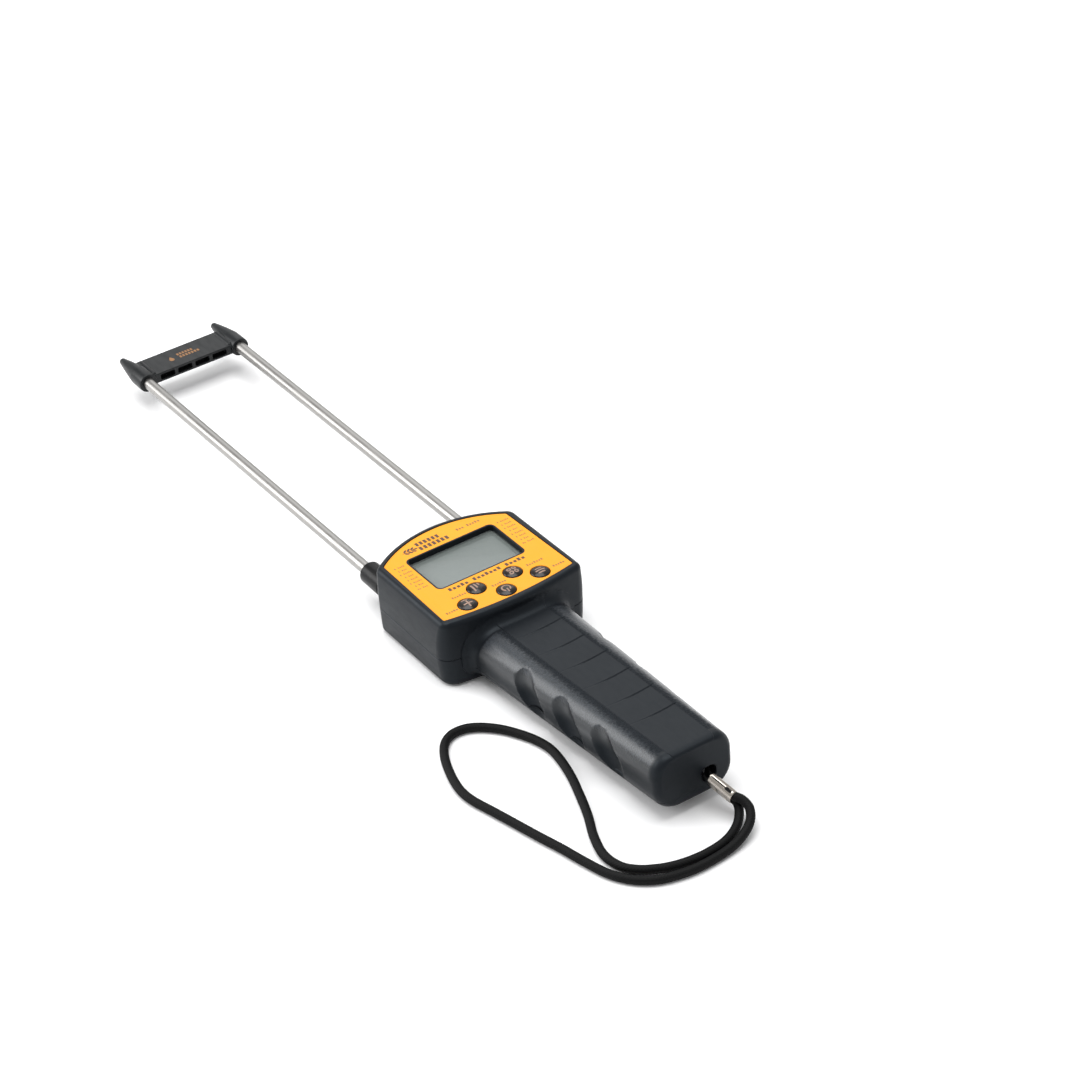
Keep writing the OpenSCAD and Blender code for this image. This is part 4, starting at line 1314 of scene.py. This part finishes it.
def rear_label(material, ink):
    """A silver label with rounded corners and generic rows of print."""
    low, high = corners("rear_label")
    middle = (low + high) / 2
    shape = placed(rounded_box(high - low, 1.1, 6), at(middle[0], middle[1], low[2]))
    piece("label_sheet", shape, material, stands_for=["rear_label"])
    marks = print_row(0, middle[1] + 7.5, (5, 7, 5), 1.7, 2.2)
    for rise, groups in ((3.4, (3, 6, 4, 5)), (0.6, (7, 4, 6)), (-2.2, (4, 5, 7))):
        marks += print_row(0, middle[1] + rise, groups, 1.3, 1.4)
    marks += print_row(0, middle[1] - 6.6, (6, 8), 1.5, 1.6)
    piece("label_print", raised(marks, low[2] - 0.03, low[2] + 0.02), ink)


case_screws(metal("screw_black", (0.06, 0.06, 0.065), 0.35, size=0.3))
label_silver = metal("label_silver", (0.62, 0.62, 0.63), 0.42, (1, 0.05, 1), 0.3, 0.002)
rear_label(label_silver, ink_finish("ink_grey", (0.03, 0.03, 0.035)))

# ---------- finishes of the pieces inside ----------


def striped(name, first, second, size):
    """Bands of two colours along x, as in a conductive rubber strip, with a fine grain."""
    nodes = Nodes(name)
    wave = nodes.math("SINE", nodes.times(nodes.drawn()[0], 2 * math.pi / size), 0)
    grain = nodes.noise(0.3, 2)
    return nodes.surface(
        Base_Color=nodes.mix(nodes.between(wave, -0.2, 0.2), first, second),
        Roughness=nodes.between(grain, 0.3, 0.7, 0.5, 0.65), Normal=nodes.bump(grain, 0.01),
    )


def board_finish():
    """A solder-masked board: faint tracks under the green and clean flux marks."""
    nodes = Nodes("board_green")
    black, white = (0, 0, 0, 1), (1, 1, 1, 1)
    inputs = {"Vector": nodes.coordinates, "Scale": 120, "Mortar Size": 0.06}
    inputs |= {"Color1": black, "Color2": black, "Mortar": white}
    tracks = nodes.add("ShaderNodeTexBrick", inputs).outputs[0]
    colours = nodes.mix(tracks, (0.012, 0.10, 0.035), (0.03, 0.19, 0.07))
    shine = nodes.between(nodes.noise(6, 4), 0.3, 0.7, 0.25, 0.4)
    return nodes.surface(Base_Color=colours, Roughness=shine, Normal=nodes.bump(tracks, 0.02))


def finish_inside(material, *names):
    """Gives the CAD nodes that are shown as they are their material."""
    for name in names:
        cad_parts[name].data.materials.clear()
        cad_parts[name].data.materials.append(material)


finish_inside(lcd_finish(), "lcd_glass")
connector = striped("connector_rubber", (0.62, 0.24, 0.28), (0.04, 0.035, 0.035), 0.5)
finish_inside(connector, "lcd_connector_strips")
finish_inside(board_finish(), "main_board")
finish_inside(moulded("block_nylon", (0.62, 0.60, 0.54), 0.45), "rod_block")
finish_inside(black_plastic, "lcd_holder", "battery_holder")
chip_black = moulded("chip_black", (0.018, 0.018, 0.02), 0.45)
finish_inside(chip_black, "board_components", "tact_switches", "buzzer")
screw_steel = metal("screw_steel", (0.48, 0.48, 0.49), 0.3, size=0.4)
finish_inside(screw_steel, "rod_block_screws", "board_screws", "strap_pin")
finish_inside(screw_steel, "battery_springs", "battery_contacts")
lug_brass = metal("lug_brass", (0.62, 0.47, 0.20), 0.3, size=0.5)
finish_inside(lug_brass, "rod_lug_left", "rod_lug_right")
wire_white = moulded("wire_white", (0.62, 0.62, 0.58))
finish_inside(wire_white, "probe_wire_left", "probe_wire_right")
cell_sleeve = moulded("cell_sleeve", (0.55, 0.36, 0.07), 0.28)
finish_inside(cell_sleeve, *[f"battery_{i}" for i in (1, 2, 3, 4)])
finish_inside(moulded("wire_red", (0.50, 0.02, 0.015)), "battery_wire_red")
finish_inside(moulded("wire_black", (0.015, 0.015, 0.016)), "battery_wire_black")

# ---------- floor and light ----------


def stage():
    """A pale seamless floor, and soft light from the left, from behind and overhead."""
    scene = bpy.context.scene
    corner_points = np.array([(-6, -6, 0), (6, -6, 0), (6, 6, 0), (-6, 6, 0)])
    floor = mesh_object("floor", corner_points, [(0, 1, 2, 3)])
    nodes = Nodes("floor_paper")
    fine = nodes.bump(nodes.noise(2), 0.02)
    paper = nodes.surface(Base_Color=(0.93, 0.93, 0.935, 1), Roughness=0.9, Normal=fine)
    floor.data.materials.append(paper)
    world = bpy.data.worlds.new("studio")
    world.use_nodes = True
    sky = world.node_tree.nodes["Background"].inputs
    sky["Color"].default_value = (1, 1, 1, 1)
    sky["Strength"].default_value = 0.55
    scene.world = world
    lights = {
        "key": ((-1.05, 1.0, 0.75), 1.0, 17),
        "overhead": ((0, 0.1, 1.6), 1.3, 24),
        "back": ((0.75, 1.15, 1.0), 1.2, 5),
    }
    for name, (place, size, power) in lights.items():
        light = bpy.data.lights.new(name, "AREA")
        light.size = size
        light.energy = power
        lamp = bpy.data.objects.new(name, light)
        lamp.location = place
        lamp.rotation_euler = (-Vector(place)).to_track_quat("-Z", "Y").to_euler()
        scene.collection.objects.link(lamp)
    scene.view_settings.view_transform = "Standard"


stage()
